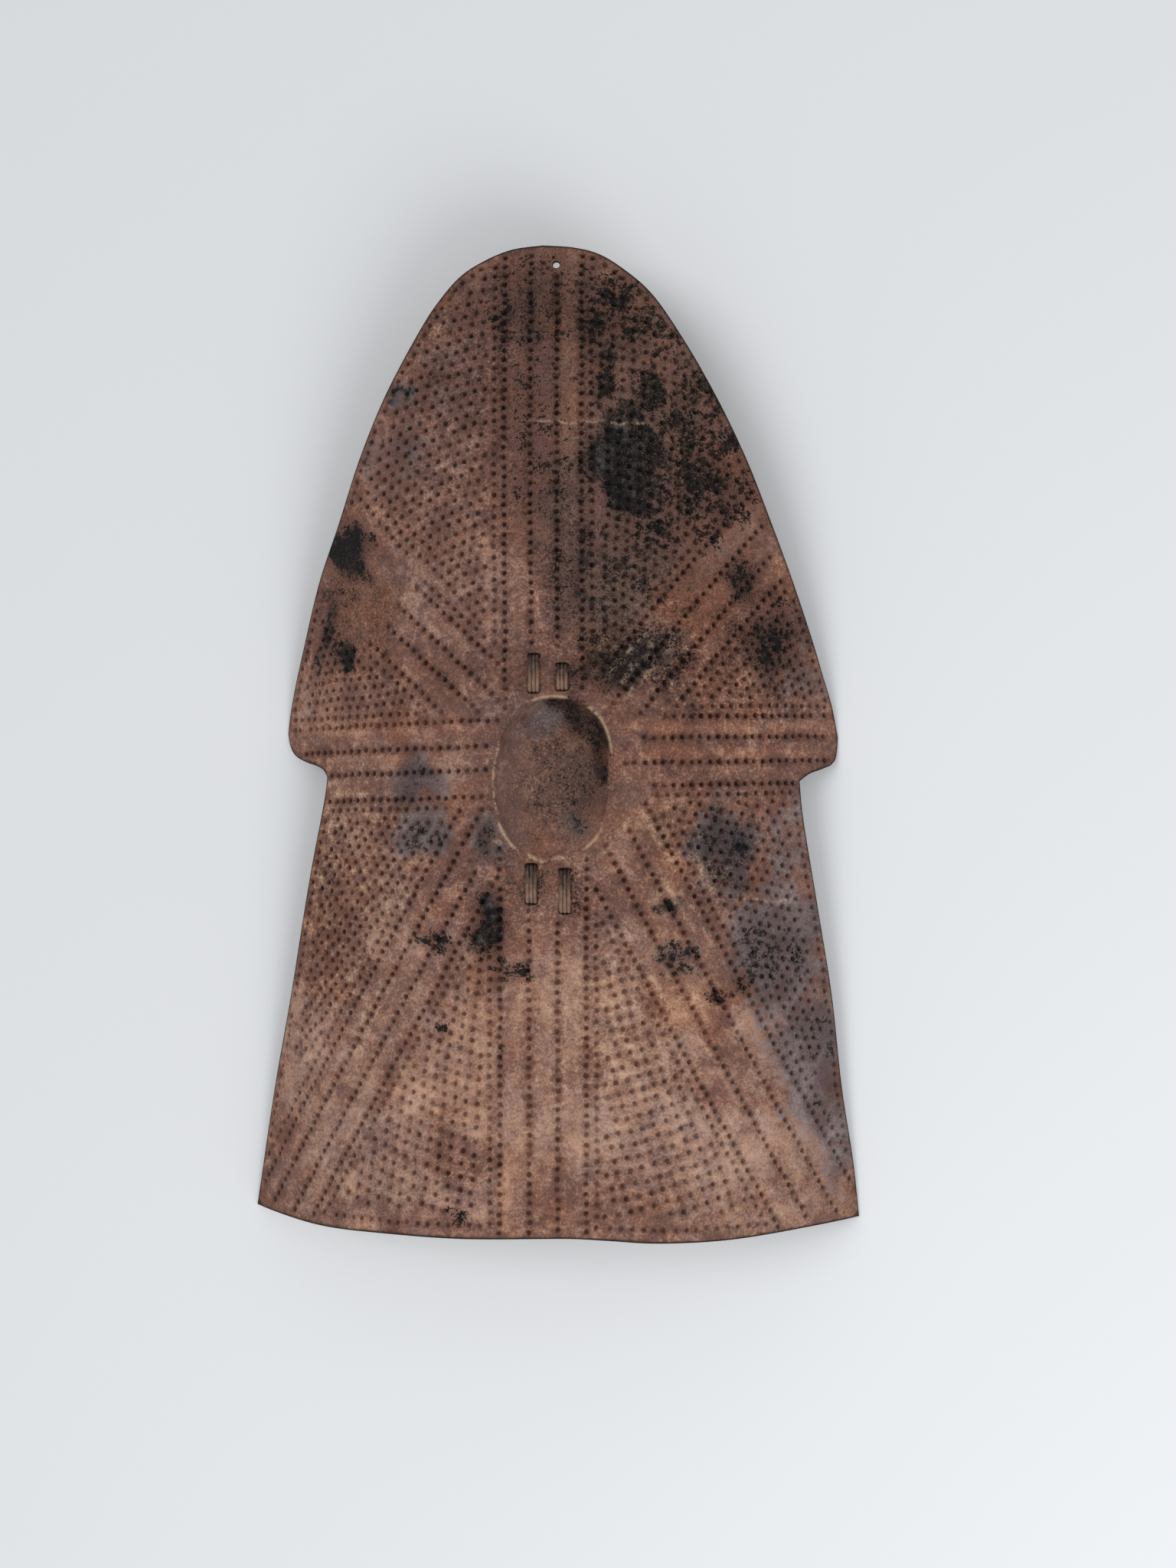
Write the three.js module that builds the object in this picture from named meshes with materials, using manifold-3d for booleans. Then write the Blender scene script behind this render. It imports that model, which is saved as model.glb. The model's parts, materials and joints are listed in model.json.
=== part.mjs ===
// An arched hide shield with a hollow boss and two laced grips, lying on its back edges.
// Millimetres. X runs across, Y towards the rounded tip, Z up. The origin is under the middle.
import * as THREE from "three";
import { mergeVertices } from "three/addons/utils/BufferGeometryUtils.js";
import Module from "manifold-3d";

// Overall size. Outline and places are drawn at DRAWN_WIDTH by DRAWN_LENGTH and laid out to it.
const SHIELD_LENGTH = 1048.5;
const SHIELD_WIDTH = 669;
const DRAWN_LENGTH = 1048.5;
const DRAWN_WIDTH = 669;
const ALONG = SHIELD_LENGTH / DRAWN_LENGTH;
const ACROSS = SHIELD_WIDTH / DRAWN_WIDTH;
const laidOut = (points) => points.map(([x, y]) => [x * ACROSS, y * ALONG]);

// Sheet
const HIDE_THICKNESS = 4.0;
const SHOULDER_Y = 5 * ALONG;
const BOTTOM_Y = -519 * ALONG;
const SHOULDER_HALF = 305.5 * ACROSS;
const BOTTOM_HALF = 334.5 * ACROSS;
const ARCH_RADIUS = 420;
const ARCH_OPENING = 35;
const REST_CUT = 1.6;
const CROWN_SHIFT = [3.5 * ACROSS, -2.5 * ACROSS];
const TIP_BEND_FROM = 160 * ALONG;
const TIP_DROOP = 30;
const TIP_Y = 522 * ALONG;

// Outline, one named run for each side, as x, y in plan
const LEFT_OGIVE = laidOut([
  [-5, 522], [-39, 518], [-69, 507], [-94, 492], [-122, 461], [-143, 429], [-179, 366],
  [-208, 302], [-232, 237], [-258, 173], [-278, 107], [-291, 62], [-299, 28], [-302, 8],
]);
const LEFT_LOBE = laidOut([
  [-302, 8], [-299, -5], [-292, -16], [-276, -24], [-262, -28], [-252, -33], [-247, -41],
]);
const LEFT_WAIST = laidOut([
  [-247, -41], [-250, -62], [-268, -146], [-293, -282], [-314, -385], [-337, -518],
]);
const BOTTOM_CUT = laidOut([
  [-337, -518], [-310, -520.5], [-248, -525], [-174, -524], [-88, -523], [-7, -520],
  [33, -519.5], [72, -522], [112, -525.5], [190, -526.5], [271, -522], [332, -519.5],
]);
const RIGHT_WAIST = laidOut([
  [332, -519.5], [326, -462], [313, -377], [302, -277], [286, -177], [270, -78], [267, -45],
]);
const RIGHT_LOBE = laidOut([[267, -45], [278, -37], [290, -32.5], [301, -28]]);
const RIGHT_TIP = laidOut([[301, -28], [306, -22], [308, -12], [309, 3]]);
const RIGHT_OGIVE = laidOut([
  [309, 3], [302, 38], [292, 71], [282, 104], [260, 169], [236, 233], [211, 296], [180, 360],
  [143, 424], [109, 472], [81, 496], [55, 512], [29, 519], [-5, 522],
]);

// Bands of tooled rows that run out from the boss: bearing in degrees, row offsets to its left
const [PATTERN_CENTRE] = laidOut([[9, -35]]);
const BANDS = [
  { bearing: 1, rows: [-16, 8, 34, 56], from: [0, 0, 0, 0] },
  { bearing: 51, rows: [-56, -32, -4, 26], from: [0, 0, 0, 0] },
  { bearing: 90.4, rows: [-32, -6, 22, 50], from: [0, 134, 134, 0] },
  { bearing: 137.7, rows: [-45, -17, 7, 34], from: [0, 0, 0, 0] },
  { bearing: 181.8, rows: [-56, -29, -4, 24], from: [0, 0, 0, 0] },
  { bearing: 240.5, rows: [-67, -46, -20, 3], from: [0, 0, 0, 0] },
  { bearing: 270.2, rows: [-56, -25, 5, 35], from: [0, 160, 160, 0] },
  { bearing: 297.8, rows: [-16, 13, 42, 70], from: [0, 0, 0, 0] },
];
const SECTOR_FILLS = [2, 4, 4, 2, 6, 4, 4, 6];
const GROOVE_DEPTH = 1.0;
const FLUTE_RISE = 0.5;
const GROOVE_FADE = 16;
const ROW_EDGE = 8;
const APEX_STEP = 8;

// Boss
const [BOSS_CENTRE] = laidOut([[8.5, -41]]);
const BOSS_HEIGHT = 40;
const BOSS_FULLNESS = 0.7;
const BOSS_FOOT = [
  [0, 57], [30, 68], [55, 79], [80, 82.5], [110, 80], [130, 71], [155, 62], [185, 60],
  [210, 66], [228, 75], [245, 82], [270, 81.5], [290, 80.5], [308, 75], [325, 64],
];
const FOOT_LOBES = [[264, 5, 7], [286, 3, 7]];
const WELT_WIDTH = 4;
const WELT_RISE = 1.5;

// Hanging hole and laced grips
const [HOLE_CENTRE] = laidOut([[10, 500]]);
const HOLE_DIAMETER = 7.6;
const LACE_WIDTH = 12;
const LACE_THICKNESS = 4.5;
const CLEARANCE = 0.35;
const KNOT_DROP = 10.5;
const GRIP_X = { left: [-19.3, -21.3], right: [10.4, 13.9] };
const GRIP_RUNS = { left: [129, 88, -90, -132], right: [119, 90.3, -95, -142] };
const GRIPS = ["left", "right"].map((side) => ({
  name: `grip_lace_${side}`,
  x: GRIP_X[side].map((x) => BOSS_CENTRE[0] + x),
  runs: GRIP_RUNS[side].map((y) => BOSS_CENTRE[1] + y),
}));

const RINGS_OUT = 13;
const RINGS_BACK = 8;

const mix = (a, b, t) => a + (b - a) * t;
const clamp = (t) => Math.min(1, Math.max(0, t));
const smooth = (t) => clamp(t) ** 2 * (3 - 2 * clamp(t));
const rad = (d) => (d * Math.PI) / 180;
const lerp2 = (a, b, t) => [mix(a[0], b[0], t), mix(a[1], b[1], t)];

// Arched surface
const opening = (y) => Math.max(0, (SHOULDER_Y - y) / (SHOULDER_Y - BOTTOM_Y));
const archRadius = (y) => ARCH_RADIUS + ARCH_OPENING * opening(y);
function drop(radius, half) {
  return radius - Math.sqrt(Math.max(radius * radius - half * half, (0.25 * radius) ** 2));
}
function restCrown(radius, half) {
  const edge = Math.sqrt(Math.max(0.06, 1 - (half / radius) ** 2));
  return drop(radius, half) + HIDE_THICKNESS * edge - REST_CUT;
}
const CROWN_SHOULDER = restCrown(ARCH_RADIUS, SHOULDER_HALF);
const CROWN_BOTTOM = restCrown(ARCH_RADIUS + ARCH_OPENING, BOTTOM_HALF);
function crownHeight(y) {
  const bend = Math.max(0, (y - TIP_BEND_FROM) / (TIP_Y - TIP_BEND_FROM));
  return mix(CROWN_SHOULDER, CROWN_BOTTOM, opening(y)) - TIP_DROOP * bend * bend;
}
function crownX(y) {
  const up = clamp((y - SHOULDER_Y) / (TIP_Y - SHOULDER_Y));
  return mix(CROWN_SHIFT[0], CROWN_SHIFT[1], opening(y)) - CROWN_SHIFT[0] * up;
}
const surface = (x, y) => crownHeight(y) - drop(archRadius(y), x - crownX(y));
function normal(x, y) {
  const e = 0.5;
  const dx = (surface(x + e, y) - surface(x - e, y)) / (2 * e);
  const dy = (surface(x, y + e) - surface(x, y - e)) / (2 * e);
  return new THREE.Vector3(-dx, -dy, 1).normalize();
}
function onSheet(p, height) {
  const n = normal(p[0], p[1]);
  return new THREE.Vector3(p[0], p[1], surface(p[0], p[1])).addScaledVector(n, height);
}

// Boss foot and dome
function footAt(angle) {
  const a = ((angle % 360) + 360) % 360;
  const n = BOSS_FOOT.length;
  const k = BOSS_FOOT.findLastIndex((s) => s[0] <= a);
  const at = (i) => {
    const s = BOSS_FOOT[((i % n) + n) % n];
    return [s[0] + 360 * Math.floor(i / n), s[1]];
  };
  const [s0, s1, s2, s3] = [at(k - 1), at(k), at(k + 1), at(k + 2)];
  const t = (a - s1[0]) / (s2[0] - s1[0]);
  const span = s2[0] - s1[0];
  const m1 = ((s2[1] - s0[1]) / (s2[0] - s0[0])) * span;
  const m2 = ((s3[1] - s1[1]) / (s3[0] - s1[0])) * span;
  const t2 = t * t;
  const t3 = t2 * t;
  return (2 * t3 - 3 * t2 + 1) * s1[1] + (t3 - 2 * t2 + t) * m1 + (3 * t2 - 2 * t3) * s2[1] + (t3 - t2) * m2;
}
function lobesAt(angle) {
  const a = ((angle % 360) + 360) % 360;
  return FOOT_LOBES.reduce((sum, [at, size, width]) => sum + size * Math.exp(-(((a - at) / width) ** 2)), 0);
}
const domeHeight = (rho) => BOSS_HEIGHT * (1 - rho * rho) ** BOSS_FULLNESS;
function bossPoint(angle, radius, height) {
  const x = BOSS_CENTRE[0] + radius * Math.cos(rad(angle));
  const y = BOSS_CENTRE[1] + radius * Math.sin(rad(angle));
  return new THREE.Vector3(x, y, surface(x, y) + height);
}

// Mesh builder: rings of points that carry a key, zipped together in key order
const vertices = [];
const faces = [];
function ring(points, keys) {
  return points.map((p, i) => ({ id: vertices.push(p) - 1, key: keys[i] }));
}
function zip(outer, inner, flip) {
  let i = 0;
  let j = 0;
  const face = (a, b, c) => faces.push(flip ? [a, c, b] : [a, b, c]);
  while (i < outer.length || j < inner.length) {
    const a = outer[i % outer.length];
    const b = inner[j % inner.length];
    const nextA = i + 1 < outer.length ? outer[i + 1].key : 1e6;
    const nextB = j + 1 < inner.length ? inner[j + 1].key : 1e6;
    const stepOuter = j >= inner.length || (i < outer.length && nextA <= nextB);
    if (stepOuter) {
      face(a.id, outer[(i + 1) % outer.length].id, b.id);
      i += 1;
    } else {
      face(a.id, inner[(j + 1) % inner.length].id, b.id);
      j += 1;
    }
  }
}

// Blank that the outline is cut from, a convex loop outside it
const BLANK = laidOut([
  [0, 560], [-100, 533], [-182, 440], [-262, 245], [-330, 60], [-338, -40], [-362, -550],
  [358, -550], [338, -40], [336, 60], [266, 245], [184, 440], [100, 533],
]);
const BLANK_LOOP = BLANK.map((p, i) => {
  const q = BLANK[(i + 1) % BLANK.length];
  return { p, q, length: Math.hypot(q[0] - p[0], q[1] - p[1]) };
});
const BLANK_LENGTH = BLANK_LOOP.reduce((sum, s) => sum + s.length, 0);
function blankHit(from, dir) {
  let run = 0;
  for (const { p, q, length } of BLANK_LOOP) {
    const e = [q[0] - p[0], q[1] - p[1]];
    const det = dir[0] * -e[1] + dir[1] * e[0];
    if (Math.abs(det) > 1e-9) {
      const w = [p[0] - from[0], p[1] - from[1]];
      const t = (w[0] * -e[1] + w[1] * e[0]) / det;
      const u = (dir[0] * w[1] - dir[1] * w[0]) / det;
      if (t > 0 && u >= 0 && u <= 1) return { at: run + u * length, point: lerp2(p, q, u) };
    }
    run += length;
  }
  throw new Error("a row misses the blank");
}
function blankAt(at) {
  let run = ((at % BLANK_LENGTH) + BLANK_LENGTH) % BLANK_LENGTH;
  for (const { p, q, length } of BLANK_LOOP) {
    if (run <= length) return lerp2(p, q, run / length);
    run -= length;
  }
  return BLANK[0];
}

// Rays: each is a straight line from the collar round the boss to the blank's edge
function bandLine(band, offset) {
  const d = [Math.cos(rad(band.bearing)), Math.sin(rad(band.bearing))];
  return { d, p: [PATTERN_CENTRE[0] - offset * d[1], PATTERN_CENTRE[1] + offset * d[0]] };
}
function meet(a, b) {
  const det = a.d[0] * b.d[1] - a.d[1] * b.d[0];
  const w = [b.p[0] - a.p[0], b.p[1] - a.p[1]];
  const t = (w[0] * b.d[1] - w[1] * b.d[0]) / det;
  return [a.p[0] + t * a.d[0], a.p[1] + t * a.d[1]];
}
const along = (p, d, t) => [p[0] + d[0] * t, p[1] + d[1] * t];
const APEXES = BANDS.map((band, k) => {
  const next = BANDS[(k + 1) % BANDS.length];
  return meet(bandLine(band, band.rows[3]), bandLine(next, next.rows[0]));
});
const rays = [];
BANDS.forEach((band, k) => {
  const d = bandLine(band, 0).d;
  const first = along(APEXES[(k + 7) % 8], d, APEX_STEP);
  const last = along(APEXES[k], d, APEX_STEP);
  for (let i = 0; i < 7; i += 1) {
    const [lo, hi] = [Math.floor(i / 2), Math.ceil(i / 2)];
    const offset = (band.rows[lo] + band.rows[hi]) / 2;
    const share = (offset - band.rows[0]) / (band.rows[3] - band.rows[0]);
    const start = lerp2(first, last, share);
    const end = blankHit(start, d).point;
    const height = i % 2 ? FLUTE_RISE : -GROOVE_DEPTH;
    rays.push({ start, end, d, height, from: Math.max(band.from[lo], band.from[hi]), banded: true });
  }
  const next = BANDS[(k + 1) % 8];
  const nextD = bandLine(next, 0).d;
  const across = along(APEXES[k], nextD, APEX_STEP);
  const edgeA = blankHit(bandLine(band, band.rows[3] + ROW_EDGE).p, d);
  const edgeB = blankHit(bandLine(next, next.rows[0] - ROW_EDGE).p, nextD);
  const gap = (((edgeB.at - edgeA.at) % BLANK_LENGTH) + BLANK_LENGTH) % BLANK_LENGTH;
  const count = SECTOR_FILLS[k] + 2;
  for (let i = 0; i < count; i += 1) {
    const start = lerp2(last, across, (i + 1) / (count + 1));
    const end = blankAt(edgeA.at + (gap * i) / (count - 1));
    rays.push({ start, end, d: null, height: 0, from: 0, banded: false });
  }
});
rays.forEach((ray, i) => {
  ray.key = i;
  ray.length = Math.hypot(ray.end[0] - ray.start[0], ray.end[1] - ray.start[1]);
});
const banded = rays.filter((ray) => ray.banded);

function relief(ray, t) {
  if (!ray.height) return 0;
  const p = lerp2(ray.start, ray.end, t);
  const reach = (p[0] - PATTERN_CENTRE[0]) * ray.d[0] + (p[1] - PATTERN_CENTRE[1]) * ray.d[1];
  const fromCollar = smooth((t * ray.length) / GROOVE_FADE);
  return ray.height * Math.min(fromCollar, smooth((reach - ray.from) / GROOVE_FADE));
}
const collarAngle = (ray) =>
  (Math.atan2(ray.start[1] - BOSS_CENTRE[1], ray.start[0] - BOSS_CENTRE[0]) * 180) / Math.PI;

// Front of the hide, from the blank's edge in to the top of the boss
const front = [];
for (let j = RINGS_OUT; j >= 0; j -= 1) {
  const t = (j / RINGS_OUT) ** 1.15;
  const points = rays.map((ray) => onSheet(lerp2(ray.start, ray.end, t), relief(ray, t)));
  front.push(ring(points, rays.map((ray) => ray.key)));
}
const bandKeys = banded.map((ray) => ray.key);
const footRing = (extra, height) =>
  ring(
    banded.map((ray) => {
      const a = collarAngle(ray);
      return bossPoint(a, footAt(a) + lobesAt(a) + extra, height);
    }),
    bandKeys,
  );
const weltOuter = banded.map((ray) => {
  const a = collarAngle(ray);
  const p = bossPoint(a, footAt(a) + lobesAt(a) + WELT_WIDTH, 0);
  return [p.x, p.y];
});
for (const t of [0.36, 0.7, 1]) {
  front.push(ring(banded.map((ray, i) => onSheet(lerp2(ray.start, weltOuter[i], t), 0)), bandKeys));
}
front.push(footRing(WELT_WIDTH * 0.45, WELT_RISE));
front.push(footRing(0, 0.3));
const half = banded.filter((ray, i) => i % 2 === 0);
for (const rho of [0.975, 0.92, 0.82, 0.66, 0.44, 0.2]) {
  const use = rho > 0.9 ? banded : half;
  front.push(
    ring(
      use.map((ray) => {
        const a = collarAngle(ray);
        return bossPoint(a, (footAt(a) + lobesAt(a) * rho ** 12) * rho, domeHeight(rho));
      }),
      use.map((ray) => ray.key),
    ),
  );
}
for (let j = 0; j + 1 < front.length; j += 1) zip(front[j], front[j + 1], false);
const top = ring([bossPoint(0, 0, BOSS_HEIGHT)], [0])[0];
const crownRing = front[front.length - 1];
crownRing.forEach((v, i) => faces.push([v.id, crownRing[(i + 1) % crownRing.length].id, top.id]));

// Back of the hide, plain and one thickness in
const back = [];
const backRays = rays.filter((ray) => ray.banded || ray.key % 2 === 0);
for (let j = RINGS_BACK; j >= 0; j -= 1) {
  const t = (j / RINGS_BACK) ** 1.15;
  back.push(
    ring(
      backRays.map((ray) => onSheet(lerp2(ray.start, ray.end, t), -HIDE_THICKNESS)),
      backRays.map((ray) => ray.key),
    ),
  );
}
const backFoot = banded.map((ray) => {
  const a = collarAngle(ray);
  const p = bossPoint(a, footAt(a) - HIDE_THICKNESS * 1.1, 0);
  return [p.x, p.y];
});
for (const t of [0.5, 1]) {
  const points = banded.map((ray, i) => onSheet(lerp2(ray.start, backFoot[i], t), -HIDE_THICKNESS));
  back.push(ring(points, bandKeys));
}
for (const rho of [0.975, 0.92, 0.8, 0.6, 0.3]) {
  const use = rho > 0.9 ? banded : half;
  back.push(
    ring(
      use.map((ray) => {
        const a = collarAngle(ray);
        const r = footAt(a);
        const slope = (2 * BOSS_FULLNESS * BOSS_HEIGHT * rho * (1 - rho * rho) ** (BOSS_FULLNESS - 1)) / r;
        const unit = Math.hypot(slope, 1);
        const inward = r * rho - (HIDE_THICKNESS * slope) / unit;
        return bossPoint(a, inward, domeHeight(rho) - HIDE_THICKNESS / unit);
      }),
      use.map((ray) => ray.key),
    ),
  );
}
for (let j = 0; j + 1 < back.length; j += 1) zip(back[j], back[j + 1], true);
const under = ring([bossPoint(0, 0, BOSS_HEIGHT - HIDE_THICKNESS)], [0])[0];
const hollowRing = back[back.length - 1];
hollowRing.forEach((v, i) => faces.push([hollowRing[(i + 1) % hollowRing.length].id, v.id, under.id]));
zip(front[0], back[0], true);

function meshGeometry(points, triangles) {
  const geometry = new THREE.BufferGeometry();
  const places = points.flatMap((p) => [p.x, p.y, p.z]);
  geometry.setAttribute("position", new THREE.Float32BufferAttribute(places, 3));
  geometry.setIndex(triangles.flat());
  return geometry;
}

// Solid operations
const wasm = await Module();
wasm.setup();
function toSolid(geometry) {
  const g = geometry.clone();
  g.deleteAttribute("normal");
  g.deleteAttribute("uv");
  const merged = mergeVertices(g, 1e-4);
  return new wasm.Manifold(
    new wasm.Mesh({
      numProp: 3,
      vertProperties: new Float32Array(merged.attributes.position.array),
      triVerts: new Uint32Array(merged.index.array),
    }),
  );
}
function fromSolid(solid) {
  const mesh = solid.getMesh();
  const geometry = new THREE.BufferGeometry();
  geometry.setAttribute("position", new THREE.Float32BufferAttribute(Array.from(mesh.vertProperties), 3));
  geometry.setIndex(Array.from(mesh.triVerts));
  return geometry;
}

// Outline as one loop, counter-clockwise
function curve(points, count) {
  const path = new THREE.CatmullRomCurve3(
    points.map(([x, y]) => new THREE.Vector3(x, y, 0)),
    false,
    "centripetal",
  );
  return path.getSpacedPoints(count).map((p) => [p.x, p.y]).slice(0, -1);
}
const OUTLINE = [
  ...curve(LEFT_OGIVE, 26),
  ...curve(LEFT_LOBE, 8),
  ...curve(LEFT_WAIST, 12),
  ...curve(BOTTOM_CUT, 16),
  ...curve(RIGHT_WAIST, 12),
  ...curve(RIGHT_LOBE, 3),
  ...curve(RIGHT_TIP, 4),
  ...curve(RIGHT_OGIVE, 26),
];

// Cutter whose walls stand square to the sheet
const CUT_REACH = SHIELD_WIDTH;
function outlineCutter() {
  const points = [];
  const triangles = [];
  const n = OUTLINE.length;
  const low = OUTLINE.map((p) => onSheet(p, -3 * HIDE_THICKNESS));
  const high = OUTLINE.map((p) => onSheet(p, 2 * HIDE_THICKNESS));
  const floor = low.map((p) => new THREE.Vector3(p.x, p.y, -CUT_REACH));
  const roof = high.map((p) => new THREE.Vector3(p.x, p.y, CUT_REACH));
  points.push(...floor, ...low, ...high, ...roof);
  for (let level = 0; level < 3; level += 1) {
    for (let i = 0; i < n; i += 1) {
      const a = level * n + i;
      const b = level * n + ((i + 1) % n);
      triangles.push([a, b, b + n], [a, b + n, a + n]);
    }
  }
  const cap = (loop) => THREE.ShapeUtils.triangulateShape(loop.map((p) => new THREE.Vector2(p.x, p.y)), []);
  cap(floor).forEach(([a, b, c]) => triangles.push([c, b, a]));
  cap(roof).forEach(([a, b, c]) => triangles.push([a + 3 * n, b + 3 * n, c + 3 * n]));
  return toSolid(meshGeometry(points, triangles));
}

// Square to the sheet at a point
function placeOnSheet(geometry, x, y) {
  const turn = new THREE.Quaternion().setFromUnitVectors(new THREE.Vector3(0, 0, 1), normal(x, y));
  geometry.applyQuaternion(turn);
  geometry.translate(x, y, surface(x, y));
  return geometry;
}

const HALF_THICK = LACE_THICKNESS / 2;
const REACH = HALF_THICK + CLEARANCE;
function gripPath(grip) {
  const [a, b, c, d] = grip.runs;
  const slits = [a - HALF_THICK, b + HALF_THICK, c - HALF_THICK, d + HALF_THICK];
  const gripX = (y) => mix(grip.x[0], grip.x[1], clamp((b - y) / (b - c)));
  return { slits, gripX };
}

let hide = toSolid(meshGeometry(vertices, faces)).intersect(outlineCutter());
const ground = new THREE.BoxGeometry(2 * SHIELD_WIDTH, 2 * SHIELD_LENGTH, CUT_REACH);
ground.translate(0, 0, -CUT_REACH / 2);
hide = hide.subtract(toSolid(ground));
const hole = new THREE.CylinderGeometry(HOLE_DIAMETER / 2, HOLE_DIAMETER / 2, 40, 20).rotateX(Math.PI / 2);
hide = hide.subtract(toSolid(placeOnSheet(hole, HOLE_CENTRE[0], HOLE_CENTRE[1])));
for (const grip of GRIPS) {
  const { slits, gripX } = gripPath(grip);
  for (const y of slits) {
    const slit = new THREE.BoxGeometry(LACE_WIDTH + 2 * CLEARANCE, 2 * REACH, 40);
    hide = hide.subtract(toSolid(placeOnSheet(slit, gripX(y), y)));
  }
}

// One laced grip: a triple lace swept through its four slits, knotted behind the outer two
const W = LACE_WIDTH / 2;
const SECTION = [
  [-W, 0], [-0.84 * W, 0.9], [-0.5 * W, 0.92], [-0.34 * W, 0.5], [-0.18 * W, 1], [0.18 * W, 1],
  [0.34 * W, 0.5], [0.5 * W, 0.92], [0.84 * W, 0.9], [W, 0], [0.84 * W, -0.92], [0.25 * W, -1],
  [-0.25 * W, -1], [-0.84 * W, -0.92],
];
function lace(grip) {
  const { slits, gripX } = gripPath(grip);
  const [sa, sb, sc, sd] = slits;
  const behind = -HIDE_THICKNESS - REACH;
  const stations = [];
  const knot = [
    [-KNOT_DROP, 0.62, 1.5], [-0.8 * KNOT_DROP, 1.3, 2.5], [-0.45 * KNOT_DROP, 1.42, 2.8],
    [-0.14 * KNOT_DROP, 1.2, 2.1], [-0.08 * KNOT_DROP, 1, 1],
  ];
  for (const [h, wide, thick] of knot) {
    stations.push({ y: sa, h: -HIDE_THICKNESS + h, dy: 0, dh: 1, wide, thick });
  }
  const bend = (cy, ch, from, to) => {
    for (let i = 0; i <= 4; i += 1) {
      const a = rad(mix(from, to, i / 4));
      const turn = Math.sign(to - from);
      stations.push({
        y: cy + REACH * Math.cos(a),
        h: ch + REACH * Math.sin(a),
        dy: -Math.sin(a) * turn,
        dh: Math.cos(a) * turn,
        wide: 1,
        thick: 1,
      });
    }
  };
  bend(sa - REACH, 0, 0, 90);
  bend(sb + REACH, 0, 90, 180);
  bend(sb - REACH, -HIDE_THICKNESS, 0, -90);
  stations.push({ y: (sb + sc) / 2, h: behind, dy: -1, dh: 0, wide: 1, thick: 1 });
  bend(sc + REACH, -HIDE_THICKNESS, -90, -180);
  bend(sc - REACH, 0, 0, 90);
  bend(sd + REACH, 0, 90, 180);
  for (const [h, wide, thick] of knot.toReversed()) {
    stations.push({ y: sd, h: -HIDE_THICKNESS + h, dy: 0, dh: -1, wide, thick });
  }
  const points = [];
  const triangles = [];
  const n = SECTION.length;
  for (const s of stations) {
    for (const [u, v] of SECTION) {
      const out = v * HALF_THICK * s.thick;
      const x = gripX(s.y) + u * s.wide;
      const y = s.y + out * s.dh;
      const height = s.h - out * s.dy;
      points.push(new THREE.Vector3(x, y, surface(x, y) + height));
    }
  }
  for (let k = 0; k + 1 < stations.length; k += 1) {
    for (let i = 0; i < n; i += 1) {
      const a = k * n + i;
      const b = k * n + ((i + 1) % n);
      triangles.push([a, b, b + n], [a, b + n, a + n]);
    }
  }
  const mean = (k) => {
    const c = new THREE.Vector3();
    for (let i = 0; i < n; i += 1) c.add(points[k * n + i]);
    return c.divideScalar(n);
  };
  const lastK = stations.length - 1;
  const startId = points.push(mean(0)) - 1;
  const endId = points.push(mean(lastK)) - 1;
  for (let i = 0; i < n; i += 1) {
    const j = (i + 1) % n;
    triangles.push([startId, j, i], [endId, lastK * n + i, lastK * n + j]);
  }
  const geometry = meshGeometry(points, triangles);
  const solid = toSolid(geometry);
  if (solid.volume() > 0) return geometry;
  return meshGeometry(points, triangles.map(([a, b, c]) => [a, c, b]));
}

const HIDE_COLOUR = 0x6b5245;
const LACE_COLOUR = 0x54423a;
const group = new THREE.Group();
const hideGeometry = fromSolid(hide);
hideGeometry.computeBoundingBox();
const middle = hideGeometry.boundingBox.getCenter(new THREE.Vector3());
function add(name, geometry, color) {
  geometry.translate(-middle.x, -middle.y, 0);
  const material = new THREE.MeshStandardMaterial({ color, roughness: 0.75, metalness: 0 });
  const mesh = new THREE.Mesh(geometry, material);
  mesh.name = name;
  group.add(mesh);
}
add("shield_hide", hideGeometry, HIDE_COLOUR);
GRIPS.forEach((grip) => add(grip.name, lace(grip), LACE_COLOUR));

export default group;
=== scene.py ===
"""An arched hide shield with a punched pattern, a hollow boss and two laced grips, lying face up.

Places on the sheet are plan millimetres: x across from near the crown, y along it towards the tip.
"""
import json
import math

import bpy
import numpy as np
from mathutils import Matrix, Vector
from mathutils.geometry import delaunay_2d_cdt
from mathutils.kdtree import KDTree

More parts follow.
